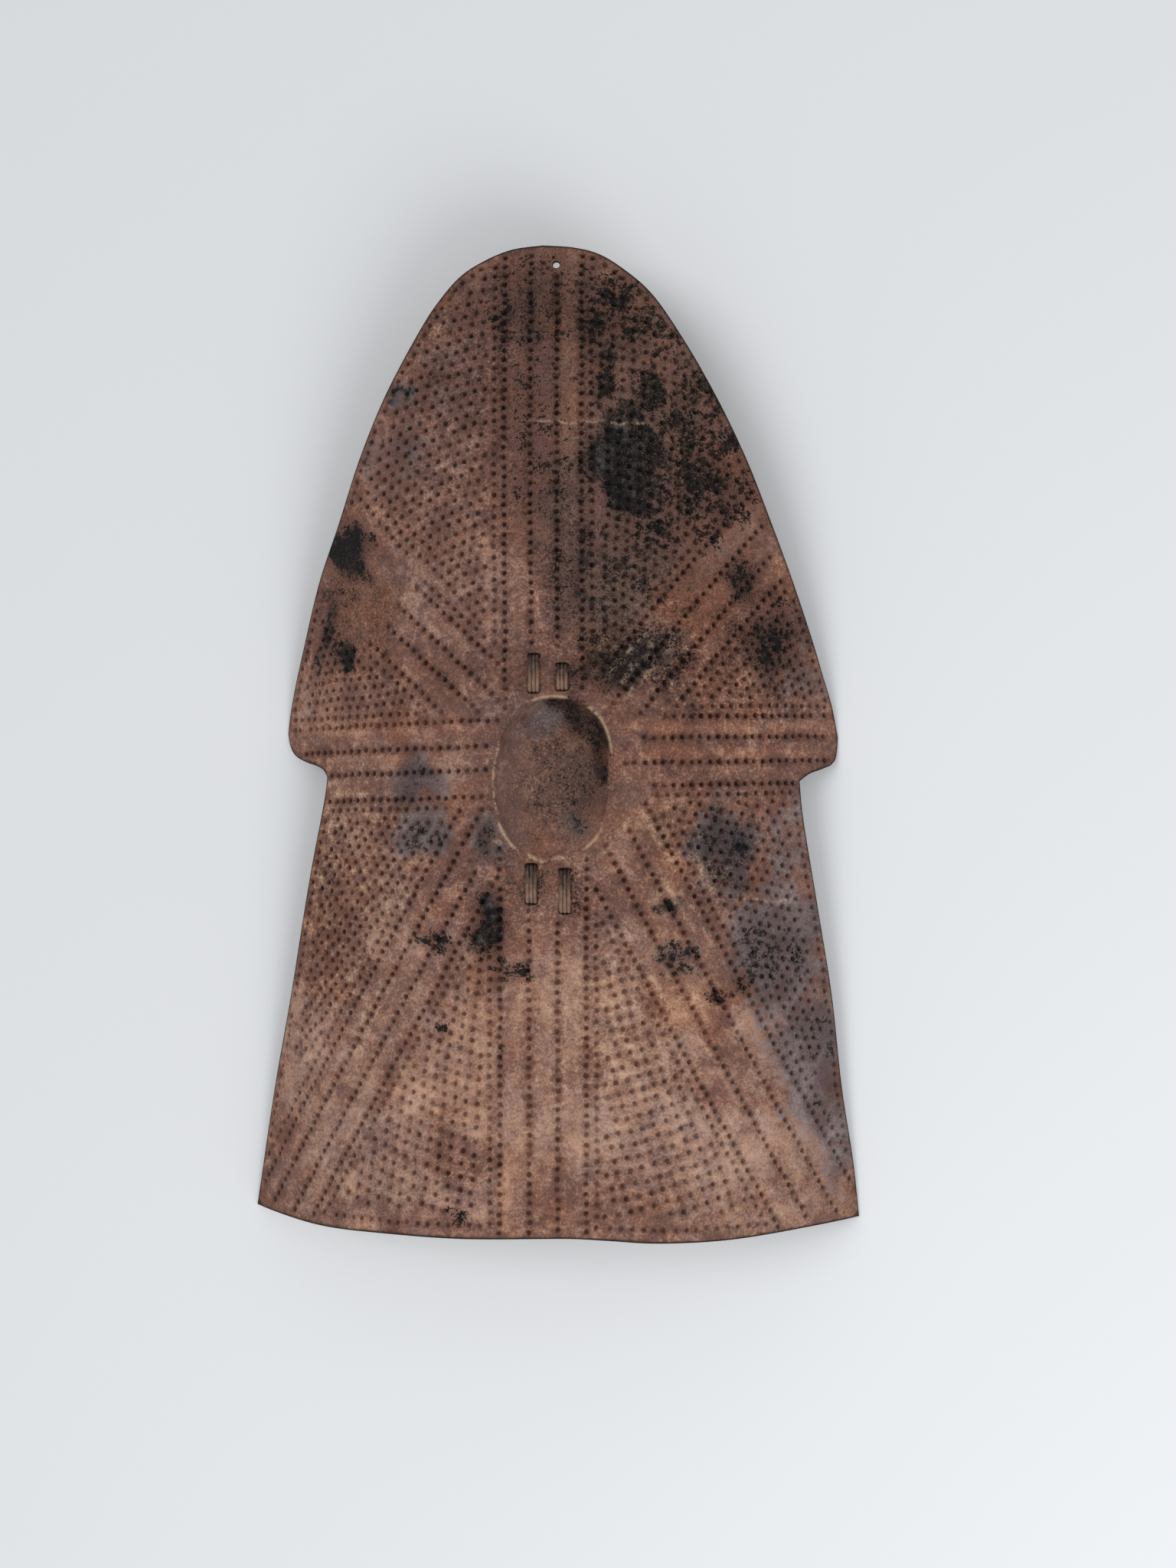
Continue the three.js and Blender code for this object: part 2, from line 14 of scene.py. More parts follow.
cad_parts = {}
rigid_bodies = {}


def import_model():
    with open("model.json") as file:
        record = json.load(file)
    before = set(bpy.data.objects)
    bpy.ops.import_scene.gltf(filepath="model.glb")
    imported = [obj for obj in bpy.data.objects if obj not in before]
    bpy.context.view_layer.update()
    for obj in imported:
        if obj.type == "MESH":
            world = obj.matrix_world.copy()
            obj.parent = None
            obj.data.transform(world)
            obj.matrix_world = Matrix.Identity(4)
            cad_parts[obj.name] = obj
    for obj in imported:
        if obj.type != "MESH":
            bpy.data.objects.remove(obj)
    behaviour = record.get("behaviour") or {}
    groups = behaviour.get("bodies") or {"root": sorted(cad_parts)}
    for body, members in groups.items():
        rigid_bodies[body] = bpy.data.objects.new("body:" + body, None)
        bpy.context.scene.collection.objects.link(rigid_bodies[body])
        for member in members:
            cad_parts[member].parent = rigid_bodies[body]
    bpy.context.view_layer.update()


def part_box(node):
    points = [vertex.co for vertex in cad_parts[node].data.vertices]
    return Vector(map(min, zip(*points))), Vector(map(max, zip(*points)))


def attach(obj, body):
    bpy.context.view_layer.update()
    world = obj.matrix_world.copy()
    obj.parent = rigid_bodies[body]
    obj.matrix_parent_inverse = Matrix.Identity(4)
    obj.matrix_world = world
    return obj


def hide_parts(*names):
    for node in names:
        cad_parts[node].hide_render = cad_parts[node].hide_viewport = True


bl_info = {
    "name": "Embossed hide shield",
    "version": (1, 0, 0),
    "blender": (4, 5, 0),
    "location": "3D View > Sidebar > Hide shield",
    "description": "Builds the punched hide and the laced grips of an arched shield around its frame",
    "category": "Object",
}

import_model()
HIDE_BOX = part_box("shield_hide")

# Sheet
HIDE_THICKNESS = 4.0
SHOULDER_Y = 5.0
BOTTOM_Y = -519.0
SHOULDER_HALF = 305.5
BOTTOM_HALF = 334.5
ARCH_RADIUS = 420.0
ARCH_OPENING = 35.0
REST_CUT = 1.6
STEEPEST_SHARE = 0.25
LEAST_EDGE_SQUARE = 0.06
CROWN_SHIFT = (3.5, -2.5)
TIP_BEND_FROM = 160.0
TIP_DROOP = 30.0
TIP_Y = 522.0

# Outline, counter-clockwise, one run for each side
OUTLINE_RUNS = {
    "left ogive": [
        (-5, 522), (-39, 518), (-69, 507), (-94, 492), (-122, 461), (-143, 429), (-179, 366),
        (-208, 302), (-232, 237), (-258, 173), (-278, 107), (-291, 62), (-299, 28), (-302, 8),
    ],
    "left lobe": [(-302, 8), (-299, -5), (-292, -16), (-276, -24), (-262, -28), (-252, -33), (-247, -41)],
    "left waist": [(-247, -41), (-250, -62), (-268, -146), (-293, -282), (-314, -385), (-337, -518)],
    "bottom cut": [
        (-337, -518), (-310, -520.5), (-248, -525), (-174, -524), (-88, -523), (-7, -520),
        (33, -519.5), (72, -522), (112, -525.5), (190, -526.5), (271, -522), (332, -519.5),
    ],
    "right waist": [
        (332, -519.5), (326, -462), (313, -377), (302, -277), (286, -177), (270, -78), (267, -45),
    ],
    "right lobe": [(267, -45), (278, -37), (290, -32.5), (301, -28)],
    "right tip": [(301, -28), (306, -22), (308, -12), (309, 3)],
    "right ogive": [
        (309, 3), (302, 38), (292, 71), (282, 104), (260, 169), (236, 233), (211, 296), (180, 360),
        (143, 424), (109, 472), (81, 496), (55, 512), (29, 519), (-5, 522),
    ],
}
RIM_STEP = 3.4
RIM_PROFILE = [(1.6, 0.0), (0.8, 0.2), (0.25, 0.8), (0.0, 1.8), (0.15, 2.9), (0.6, 3.6), (1.6, 4.0)]

# Bands of tooled rows that run out from the boss: bearing in degrees, row offsets to its left, the
# reach at which each row's groove starts and the reach at which its punch marks start
PATTERN_CENTRE = (9.0, -35.0)
BANDS = [
    {"bearing": 1.0, "rows": (-16, 8, 34, 56), "groove": (0, 0, 0, 0), "marks": (106, 76, 96, 118)},
    {"bearing": 51.0, "rows": (-56, -32, -4, 26), "groove": (0, 0, 0, 0), "marks": (125, 105, 95, 105)},
    {"bearing": 90.4, "rows": (-32, -6, 22, 50), "groove": (0, 134, 134, 0), "marks": (66, 130, 126, 66)},
    {"bearing": 137.7, "rows": (-45, -17, 7, 34), "groove": (0, 0, 0, 0), "marks": (120, 93, 101, 131)},
    {"bearing": 181.8, "rows": (-56, -29, -4, 24), "groove": (0, 0, 0, 0), "marks": (47, 50, 50, 66)},
    {"bearing": 240.5, "rows": (-67, -46, -20, 3), "groove": (0, 0, 0, 0), "marks": (65, 72, 133, 125)},
    {"bearing": 270.2, "rows": (-56, -25, 5, 35), "groove": (0, 160, 160, 0), "marks": (81, 145, 137, 81)},
    {"bearing": 297.8, "rows": (-16, 13, 42, 70), "groove": (0, 0, 0, 0), "marks": (110, 94, 92, 74)},
]
# The field between each band and the next: its arcs' centre along the field's middle, then from near
# the boss to far out, arc to arc and mark to mark, how far each arc is shifted from the last, and
# the height of the ridges between the arcs where there are any
FIELDS = {
    "right upper": {"centre": -40, "step": (9.8, 11.0), "spacing": (10.2, 12.0), "shift": 0.3},
    "upper right": {"centre": -40, "step": (10.4, 11.4), "spacing": (10.6, 11.6), "shift": 0.3},
    "upper left": {"centre": -40, "step": (10.2, 12.4), "spacing": (10.4, 12.8), "shift": 0.3},
    "left upper": {"centre": -360, "step": (10.2, 11.0), "spacing": (11.0, 11.8), "shift": 0.36},
    "left lower": {"centre": -400, "step": (10.4, 12.8), "spacing": (10.0, 12.6), "shift": 0.3},
    "bottom left": {"centre": -80, "step": (11.0, 13.4), "spacing": (10.6, 13.4), "shift": 0.16,
                    "ridge": 0.5},
    "bottom right": {"centre": -120, "step": (11.4, 14.0), "spacing": (10.6, 13.2), "shift": 0.08,
                     "ridge": 0.8},
    "right lower": {"centre": -3000, "step": (11.0, 12.8), "spacing": (11.4, 12.6), "shift": 0.3},
}
FIELD_REACH = (110.0, 460.0)
GROOVE_DEPTH = 1.0
FLUTE_RISE = 0.5
GROOVE_FADE = 16.0
ROW_EDGE = 8.0
APEX_STEP = 8.0

# Where the marks go and how hard they are pressed
ROW_SPACING = 10.2
ROW_PRESS = 1.15
ROW_MARGIN = 6.0
ROW_JITTER = (0.93, 1.07)
ROW_WANDER_SHARE = 0.6
COMPANION_GAP = 10.5
COMPANION_SPACING = ROW_SPACING * 1.1
COMPANION_MARGIN = 7.0
COMPANION_FROM = 95
COMPANION_APEX_STEP = 4
FIELD_GAP = 8.0
FIELD_PRESS = 0.95
FIELD_CLEAR = {"foot": 11, "rim": 9, "bottom": 8}
ARC_FIRST = 20.0
ARC_LAST = 640
ARC_HALF_TURN = math.radians(80)
ARC_JITTER = (0.97, 1.03)
ARC_PHASE_WANDER = 0.05
PAST_SHEET = 40
RIM_ROW = {"side": 8.5, "bottom": 14.0, "spacing": 11.5, "press": 0.85, "gap": 4}
MARK_CLEAR = {"foot": 9.5, "rim": 5.0, "hole": 6}
LEAST_GAP = 7.0
HAND_WANDER = 1.3
PRESS_RANGE = (0.75, 1.15)
LEAST_PRESS = 0.3
FAINT_REACH = 26.0
FAINT_SHARE = 0.6
WORN_ROWS = {"bearing": 137.7, "reach": 215.0, "fade": 50.0}

# Boss
BOSS_CENTRE = (8.5, -41.0)
BOSS_HEIGHT = 40.0
BOSS_FULLNESS = 0.7
BOSS_FOOT = [
    (0, 57), (30, 68), (55, 79), (80, 82.5), (110, 80), (130, 71), (155, 62), (185, 60),
    (210, 66), (228, 75), (245, 82), (270, 81.5), (290, 80.5), (308, 75), (325, 64),
]
FOOT_LOBES = [(264, 5, 7), (286, 3, 7)]
WELT_RISE = 1.8
WELT_AT = 1.9
WELT_SPREAD = 1.5
FOOT_RINGS = (7.5, 5.6, 4.2, 3.1, 2.3, 1.5, 0.8, 0.2)
DOME_RINGS = (0.994, 0.98, 0.955, 0.92, 0.88, 0.83, 0.77, 0.7, 0.62, 0.53, 0.43, 0.32, 0.2, 0.1)
HOLLOW_RINGS = (0.975, 0.93, 0.86, 0.78, 0.68, 0.56, 0.42, 0.26, 0.1)

# Hanging hole and laced grips
HOLE_CENTRE = (10.0, 500.0)
HOLE_RADIUS = 3.8
LACE_WIDTH = 12.0
LACE_THICKNESS = 4.5
CLEARANCE = 0.35
KNOT_DROP = 10.5
KNOT_POINTS = 40
KNOT_HALVES = (5.9, 4.1, 2.5)
KNOT_MIDDLE = 0.54
BEND_STEPS = 6
GRIPS = {
    "left": {"x": (-10.8, -12.8), "runs": (88, 47, -131, -173)},
    "right": {"x": (18.9, 22.4), "runs": (78, 49.3, -136, -183)},
}
HALF_THICK = LACE_THICKNESS / 2
REACH = HALF_THICK + CLEARANCE

# Mesh grain
CURVE_STATIONS = 401
MARK_ROSETTE = [(0.0, 1), (1.25, 6), (2.5, 7), (3.6, 7)]
MARK_POINT_GAP = 0.95
MARK_OWN_SHARE = 0.62
FIXED_POINT_GAP = 1.2
RIM_POINT_GAP = 2.6
PLAIN_POINT_GAP = 2.9
FOOT_POINT_GAP = 9.0
FRONT_FILL = 6.4
BACK_FILL = 13.0
BACK_FILL_GAP = 0.55
HOLE_SIDES = 26
SLIT_SIDES = 28
SLIT_SQUARENESS = 0.45
HOLE_SINK = 0.4
HOLE_COLLARS = ((0.9, 0.25), (2.4, 0.1))
FOOT_POINTS = 190
DOME_RADIUS = 74
DOME_SPACING = (4.2, 2.6)
HOLLOW_POINTS = 110
HOLLOW_FOOT = 1.1
HOLLOW_FOOT_RINGS = (-0.2, 3.0, 7.0)
FRONT_EDGE_DARK = 0.72
BACK_EDGE_DARK = 0.8
SHEET_FROM_FOOT = 8.0
SCATTER_ROWS = 0.87
SCATTER_JITTER = 0.16
SCATTER_RIM = 0.65
MESH_SEED = 11


def mix(a, b, t):
    return a + (b - a) * t


def clamp(t):
    return np.clip(t, 0.0, 1.0)


def smooth(t):
    t = clamp(t)
    return t * t * (3.0 - 2.0 * t)


# Arched surface
def opening(y):
    return np.maximum(0.0, (SHOULDER_Y - y) / (SHOULDER_Y - BOTTOM_Y))


def drop(radius, half):
    return radius - np.sqrt(np.maximum(radius**2 - half**2, (STEEPEST_SHARE * radius) ** 2))


def rest_crown(radius, half):
    edge = math.sqrt(max(LEAST_EDGE_SQUARE, 1 - (half / radius) ** 2))
    return float(drop(radius, half)) + HIDE_THICKNESS * edge - REST_CUT


CROWN_SHOULDER = rest_crown(ARCH_RADIUS, SHOULDER_HALF)
CROWN_BOTTOM = rest_crown(ARCH_RADIUS + ARCH_OPENING, BOTTOM_HALF)


def surface(x, y):
    """Height of the sheet's front above the floor."""
    open_by = opening(y)
    bend = np.maximum(0.0, (y - TIP_BEND_FROM) / (TIP_Y - TIP_BEND_FROM))
    crown = mix(CROWN_SHOULDER, CROWN_BOTTOM, open_by) - TIP_DROOP * bend * bend
    up = clamp((y - SHOULDER_Y) / (TIP_Y - SHOULDER_Y))
    crown_x = mix(CROWN_SHIFT[0], CROWN_SHIFT[1], open_by) - CROWN_SHIFT[0] * up
    return crown - drop(ARCH_RADIUS + ARCH_OPENING * open_by, x - crown_x)


def slopes(x, y):
    e = 0.5
    dx = (surface(x + e, y) - surface(x - e, y)) / (2 * e)
    dy = (surface(x, y + e) - surface(x, y - e)) / (2 * e)
    return dx, dy


def on_sheet(plan, height):
    """Places over plan points at a height square to the sheet."""
    x, y = plan[:, 0], plan[:, 1]
    dx, dy = slopes(x, y)
    square = np.stack([-dx, -dy, np.ones_like(dx)], axis=1)
    square /= np.linalg.norm(square, axis=1)[:, None]
    return np.stack([x, y, surface(x, y)], axis=1) + square * np.reshape(height, (-1, 1))


def stretch(x, y, heading):
    """Length on the sheet of one plan millimetre along a heading."""
    dx, dy = slopes(x, y)
    return math.sqrt(1.0 + float(dx * heading[0] + dy * heading[1]) ** 2)


# Outline
def centripetal(points, t):
    """Centripetal Catmull-Rom curve through the points, at shares t of its knots."""
    p = np.array(points, dtype=float)
    p = np.vstack([2 * p[0] - p[1], p, 2 * p[-1] - p[-2]])
    at = np.clip(t, 0.0, 1.0) * (len(points) - 1)
    k = np.minimum(at.astype(int), len(points) - 2)
    w = (at - k)[:, None]
    p0, p1, p2, p3 = p[k], p[k + 1], p[k + 2], p[k + 3]
    d0 = np.sqrt(np.linalg.norm(p1 - p0, axis=1))[:, None]
    d1 = np.sqrt(np.linalg.norm(p2 - p1, axis=1))[:, None]
    d2 = np.sqrt(np.linalg.norm(p3 - p2, axis=1))[:, None]
    t1 = ((p1 - p0) / d0 - (p2 - p0) / (d0 + d1) + (p2 - p1) / d1) * d1
    t2 = ((p2 - p1) / d1 - (p3 - p1) / (d1 + d2) + (p3 - p2) / d2) * d1
    c2 = -3 * p1 + 3 * p2 - 2 * t1 - t2
    c3 = 2 * p1 - 2 * p2 + t1 + t2
    return p1 + t1 * w + c2 * w**2 + c3 * w**3


def run_length(points):
    """Length along a line of points, at each of them."""
    return np.concatenate([[0.0], np.cumsum(np.linalg.norm(np.diff(points, axis=0), axis=1))])


def spaced(points, step):
    """Evenly spaced points of the curve, without its last."""
    t = np.linspace(0.0, 1.0, CURVE_STATIONS)
    run = run_length(centripetal(points, t))
    count = max(3, round(run[-1] / step))
    return centripetal(points, np.interp(np.arange(count) * run[-1] / count, run, t))


OUTLINE = np.vstack([spaced(points, RIM_STEP) for points in OUTLINE_RUNS.values()])
MIDDLE = (OUTLINE.min(axis=0) + OUTLINE.max(axis=0)) / 2
MM = (HIDE_BOX[1][1] - HIDE_BOX[0][1]) / float(np.ptp(OUTLINE[:, 1]))


def to_frame(places):
    """Plan millimetres to metres in the shared frame."""
    places = np.array(places, dtype=float)
    places[:, :2] -= MIDDLE
    return places * MM


def in_batches(work, plan, size=1500):
    """Runs work on plan points a batch at a time and joins what it gives."""
    return np.concatenate([work(plan[i:i + size]) for i in range(0, len(plan), size)])


def within(loop, plan):
    """Whether each plan point lies inside the closed loop."""
    ax, ay = loop[:, 0], loop[:, 1]
    bx, by = np.roll(ax, -1), np.roll(ay, -1)
    lean = (bx - ax) / np.where(by == ay, 1.0, by - ay)

    def crossings(points):
        x, y = points[:, :1], points[:, 1:]
        beside = (ay > y) != (by > y)
        return (beside & (x < lean * (y - ay) + ax)).sum(axis=1) % 2 == 1

    return in_batches(crossings, plan)


def room(plan):
    """Distance from each plan point to the outline, below zero outside."""
    e = np.roll(OUTLINE, -1, axis=0) - OUTLINE
    square = (e**2).sum(axis=1)

    def gap(points):
        w = points[:, None] - OUTLINE
        t = np.clip((w * e).sum(axis=2) / square, 0.0, 1.0)
        return np.sqrt(((w - e * t[:, :, None]) ** 2).sum(axis=2)).min(axis=1)

    return np.where(within(OUTLINE, plan), 1.0, -1.0) * in_batches(gap, plan)


def inset(loop, by):
    """The closed loop moved inwards by a distance measured on the sheet."""
    run = np.roll(loop, -1, axis=0) - np.roll(loop, 1, axis=0)
    run /= np.linalg.norm(run, axis=1)[:, None]
    inward = np.stack([-run[:, 1], run[:, 0]], axis=1)
    dx, dy = slopes(loop[:, 0], loop[:, 1])
    steep = np.sqrt(1 + (dx * inward[:, 0] + dy * inward[:, 1]) ** 2)
    return loop + inward * (by / steep)[:, None]


# Boss
def foot_at(angle):
    """Radius of the boss's foot at angles in degrees, through its stations."""
    stations = np.array(BOSS_FOOT, dtype=float)
    turn = np.vstack([stations[-2:] - (360, 0), stations, stations[:2] + (360, 0)])
    a = np.mod(angle, 360.0)
    k = np.clip(np.searchsorted(turn[:, 0], a, side="right") - 1, 1, len(turn) - 3)
    s0, s1, s2, s3 = turn[k - 1], turn[k], turn[k + 1], turn[k + 2]
    span = s2[:, 0] - s1[:, 0]
    t = (a - s1[:, 0]) / span
    m1 = (s2[:, 1] - s0[:, 1]) / (s2[:, 0] - s0[:, 0]) * span
    m2 = (s3[:, 1] - s1[:, 1]) / (s3[:, 0] - s1[:, 0]) * span
    rise = 3 * t**2 - 2 * t**3
    return (1 - rise) * s1[:, 1] + rise * s2[:, 1] + (t**3 - 2 * t**2 + t) * m1 + (t**3 - t**2) * m2


def lobes_at(angle):
    a = np.mod(angle, 360.0)
    return sum(size * np.exp(-(((a - at) / width) ** 2)) for at, size, width in FOOT_LOBES)


def boss_polar(plan):
    x, y = plan[:, 0] - BOSS_CENTRE[0], plan[:, 1] - BOSS_CENTRE[1]
    return np.degrees(np.arctan2(y, x)), np.hypot(x, y)


def from_foot(plan):
    """Distance of plan points out from the boss's foot."""
    angle, radius = boss_polar(plan)
    return radius - foot_at(angle) - lobes_at(angle)


def boss_ring(angle, radius):
    a = np.radians(angle)
    return np.stack([BOSS_CENTRE[0] + radius * np.cos(a), BOSS_CENTRE[1] + radius * np.sin(a)], axis=1)


def lift(plan, height):
    """Places straight above plan points of the sheet."""
    z = surface(plan[:, 0], plan[:, 1]) + height
    return np.stack([plan[:, 0], plan[:, 1], z], axis=1)


# Bands
def heading(bearing):
    return np.array([math.cos(math.radians(bearing)), math.sin(math.radians(bearing))])


def band_place(band, plan):
    """Offset to the left of the band's line and reach along it, for plan points."""
    d = heading(band["bearing"])
    x, y = plan[:, 0] - PATTERN_CENTRE[0], plan[:, 1] - PATTERN_CENTRE[1]
    return y * d[0] - x * d[1], x * d[0] + y * d[1]


def row_start(band, offset, reach):
    d = heading(band["bearing"])
    return np.array(PATTERN_CENTRE) + np.array([-d[1], d[0]]) * offset + d * reach


def meet(band_a, offset_a, band_b, offset_b):
    """Where a row of one band crosses a row of another."""
    da, db = heading(band_a["bearing"]), heading(band_b["bearing"])
    pa, pb = row_start(band_a, offset_a, 0), row_start(band_b, offset_b, 0)
    det = da[0] * db[1] - da[1] * db[0]
    t = ((pb - pa)[0] * db[1] - (pb - pa)[1] * db[0]) / det
    return pa + da * t


APEXES = [meet(a, a["rows"][3], b, b["rows"][0]) for a, b in zip(BANDS, BANDS[1:] + BANDS[:1])]


def band_relief(plan):
    """Height of the tooled rows and of the flutes between them."""
    total = np.zeros(len(plan))
    for k, band in enumerate(BANDS):
        rows, groove = band["rows"], band["groove"]
        offset, reach = band_place(band, plan)
        ends = [band_place(band, APEXES[j][None])[1][0] + APEX_STEP for j in (k - 1, k)]
        share = clamp((offset - rows[0]) / (rows[3] - rows[0]))
        collar = mix(ends[0], ends[1], share)
        stations = []
        for i in range(7):
            low, high = i // 2, (i + 1) // 2
            rise = FLUTE_RISE if i % 2 else -GROOVE_DEPTH
            stations.append(((rows[low] + rows[high]) / 2, rise, max(groove[low], groove[high])))
        places = [rows[0] - ROW_EDGE, *[s[0] for s in stations], rows[3] + ROW_EDGE]
        for i, (at, rise, start) in enumerate(stations, start=1):
            up = smooth((offset - places[i - 1]) / (at - places[i - 1]))
            down = smooth((places[i + 1] - offset) / (places[i + 1] - at))
            fade = np.minimum(smooth((reach - collar) / GROOVE_FADE), smooth((reach - start) / GROOVE_FADE))
            total += rise * np.where(offset < at, up, down) * fade
    return total


def arc_relief(plan):
    """Height of the low ridges between the arcs of marks in the furrowed fields."""
    total = np.zeros(len(plan))
    for k, field in enumerate(FIELDS.values()):
        if not field.get("ridge"):
            continue
        band, after = BANDS[k], BANDS[(k + 1) % len(BANDS)]
        left = band_place(band, plan)[0] - band["rows"][3] - COMPANION_GAP
        right = after["rows"][0] - COMPANION_GAP - band_place(after, plan)[0]
        ahead = band_place({"bearing": field_bearing(k)}, plan)[1]
        near = np.flatnonzero((np.minimum(left, right) > 0) & (ahead > 0))
        here = plan[near]
        inside = smooth(np.minimum(left, right)[near] / GROOVE_FADE)
        inside *= smooth((room(here) - GROOVE_FADE) / GROOVE_FADE)
        from_centre = here - np.array(PATTERN_CENTRE) - heading(field_bearing(k)) * field["centre"]
        radius = np.linalg.norm(from_centre, axis=1)
        order = np.interp(radius, field["arcs"], np.arange(len(field["arcs"])))
        total[near] += inside * field["ridge"] * (0.5 - 0.5 * np.cos(order * math.tau))
    return total


# Stained and worn places, and in LIGHTNESS also painted shadows, as x, y, half width, half length, turn in
# degrees and strength. LIGHTNESS and WARMTH add up where places overlap. In the others the strongest place
# counts.
LIGHTNESS = [
    (150, 320, 96, 200, -26, -0.05), (0, 330, 56, 190, 0, -0.12), (86, 288, 34, 54, 0, -0.1),
    (0, 450, 120, 60, 0, -0.08), (-90, 420, 70, 70, 0, -0.08), (-110, 300, 80, 90, 0, -0.05),
    (160, 365, 30, 40, -30, -0.06), (58, 372, 18, 26, 0, -0.06), (190, 280, 44, 30, -30, -0.05),
    (235, 105, 44, 70, -20, -0.12), (205, 165, 22, 26, 0, -0.1), (105, 85, 36, 28, 20, -0.22),
    (80, 150, 60, 70, 0, -0.1), (60, 80, 30, 34, 0, -0.14), (20, 190, 26, 70, 0, -0.1),
    (150, 90, 90, 60, 0, -0.04), (-205, 140, 44, 60, 0, -0.1), (-245, 135, 22, 50, -18, -0.1),
    (-215, 205, 34, 46, -20, -0.05), (-150, 60, 60, 40, 40, -0.03), (10, 75, 90, 30, 0, -0.07),
    (170, 0, 130, 50, 0, -0.08), (165, 110, 60, 50, 30, -0.05), (-200, 12, 100, 8, 0, 0.08),
    (180, 10, 110, 8, 0, 0.06),
    (180, -16, 100, 7, 0, 0.06), (-140, -40, 30, 28, 0, -0.08), (-58, -106, 22, 24, 0, -0.14),
    (8, -45, 54, 70, 0, -0.06), (24, -50, 34, 54, 0, -0.1), (-30, -50, 18, 44, 0, 0.05),
    (46, 12, 13, 30, 38, -0.16), (61, -20, 9, 30, 4, -0.16), (22, 34, 22, 9, -10, -0.12),
    # The narrow dark places at (-6, -158), (32, -162) and (28, 62) are painted shadows cast by the laces to
    # their right.
    (10, -120, 60, 24, 0, 0.02), (0, -170, 100, 44, 0, -0.12), (-6, -158, 5, 20, 0, -0.26),
    (32, -162, 5, 26, 0, -0.26), (28, 62, 5, 16, 0, -0.24), (-60, -205, 24, 44, 0, -0.05),
    (186, -120, 28, 50, 0, -0.16), (180, -100, 80, 50, 0, -0.04), (250, -232, 56, 70, 0, -0.02),
    (280, -350, 36, 70, 10, -0.04), (220, -300, 20, 22, 0, 0.09), (150, -278, 26, 26, 0, 0.08),
    (240, -460, 90, 70, 0, 0.12), (190, -380, 90, 90, 0, 0.1), (288, -380, 34, 100, 8, 0.02),
    (40, -320, 120, 150, 0, 0.07), (60, -250, 60, 60, 0, 0.04), (-120, -385, 60, 44, 0, 0.1),
    (-76, -442, 36, 28, 0, -0.12), (-38, -480, 9, 40, 0, 0.1), (-210, -330, 80, 150, 10, 0.04),
    (-240, -400, 70, 130, 10, 0.05), (-70, -380, 130, 110, 0, 0.05), (27, 420, 9, 90, 0, 0.08),
    (-260, -150, 44, 120, 10, -0.08),
]
WARMTH = [
    (-200, 140, 34, 44, 0, 0.4), (-200, 12, 120, 9, 0, 0.45), (-170, -22, 90, 9, 0, 0.25),
    (152, 148, 32, 26, 30, 0.5), (165, 100, 42, 34, 40, 0.4), (195, 48, 40, 22, 0, 0.3),
    (190, 10, 110, 9, 0, 0.4), (170, -16, 110, 8, 0, 0.4), (110, -85, 50, 22, 0, 0.35),
    (150, -278, 30, 28, 0, 0.6), (138, -132, 14, 24, 30, 0.45), (228, -298, 22, 24, 0, 0.4),
    (150, 320, 96, 190, -26, -0.12), (190, 280, 50, 40, -30, 0.25), (40, -330, 110, 120, 0, 0.12),
    (-38, -480, 10, 44, 0, 0.5), (-120, -385, 60, 44, 0, 0.2), (35, 348, 8, 18, 0, 0.35),
    (-90, 430, 60, 60, 0, -0.2), (-110, 460, 30, 30, 0, 0.3), (-226, 290, 14, 60, -18, 0.3),
    (12, 4, 24, 14, 0, 0.3), (2, -100, 12, 22, 0, 0.3), (22, -50, 30, 46, 0, -0.35),
    (-60, -270, 40, 60, 0, 0.15),
    (-250, -200, 22, 120, 10, 0.25), (250, 180, 30, 60, -18, 0.3), (280, -420, 50, 60, 0, 0.15),
    (20, 190, 24, 76, 0, -0.45), (-120, 150, 60, 60, 0, -0.15), (-110, 300, 60, 60, 0, -0.15),
    (105, 85, 36, 28, 20, -0.45), (70, 170, 50, 50, 0, -0.35), (88, -60, 18, 16, 0, -0.45),
    (186, -120, 28, 46, 0, -0.5), (72, -192, 24, 16, 0, -0.45), (-135, -98, 34, 24, 0, -0.3),
    (-40, -10, 26, 60, 0, -0.25), (0, 20, 44, 20, 0, -0.3), (-38, -60, 16, 50, 0, -0.2),
    (250, 90, 34, 60, -18, -0.25), (-40, 40, 60, 60, 0, -0.15), (-200, -430, 50, 46, 0, -0.2),
    (110, -410, 60, 50, 0, -0.15), (86, 288, 40, 60, 0, -0.6),
]
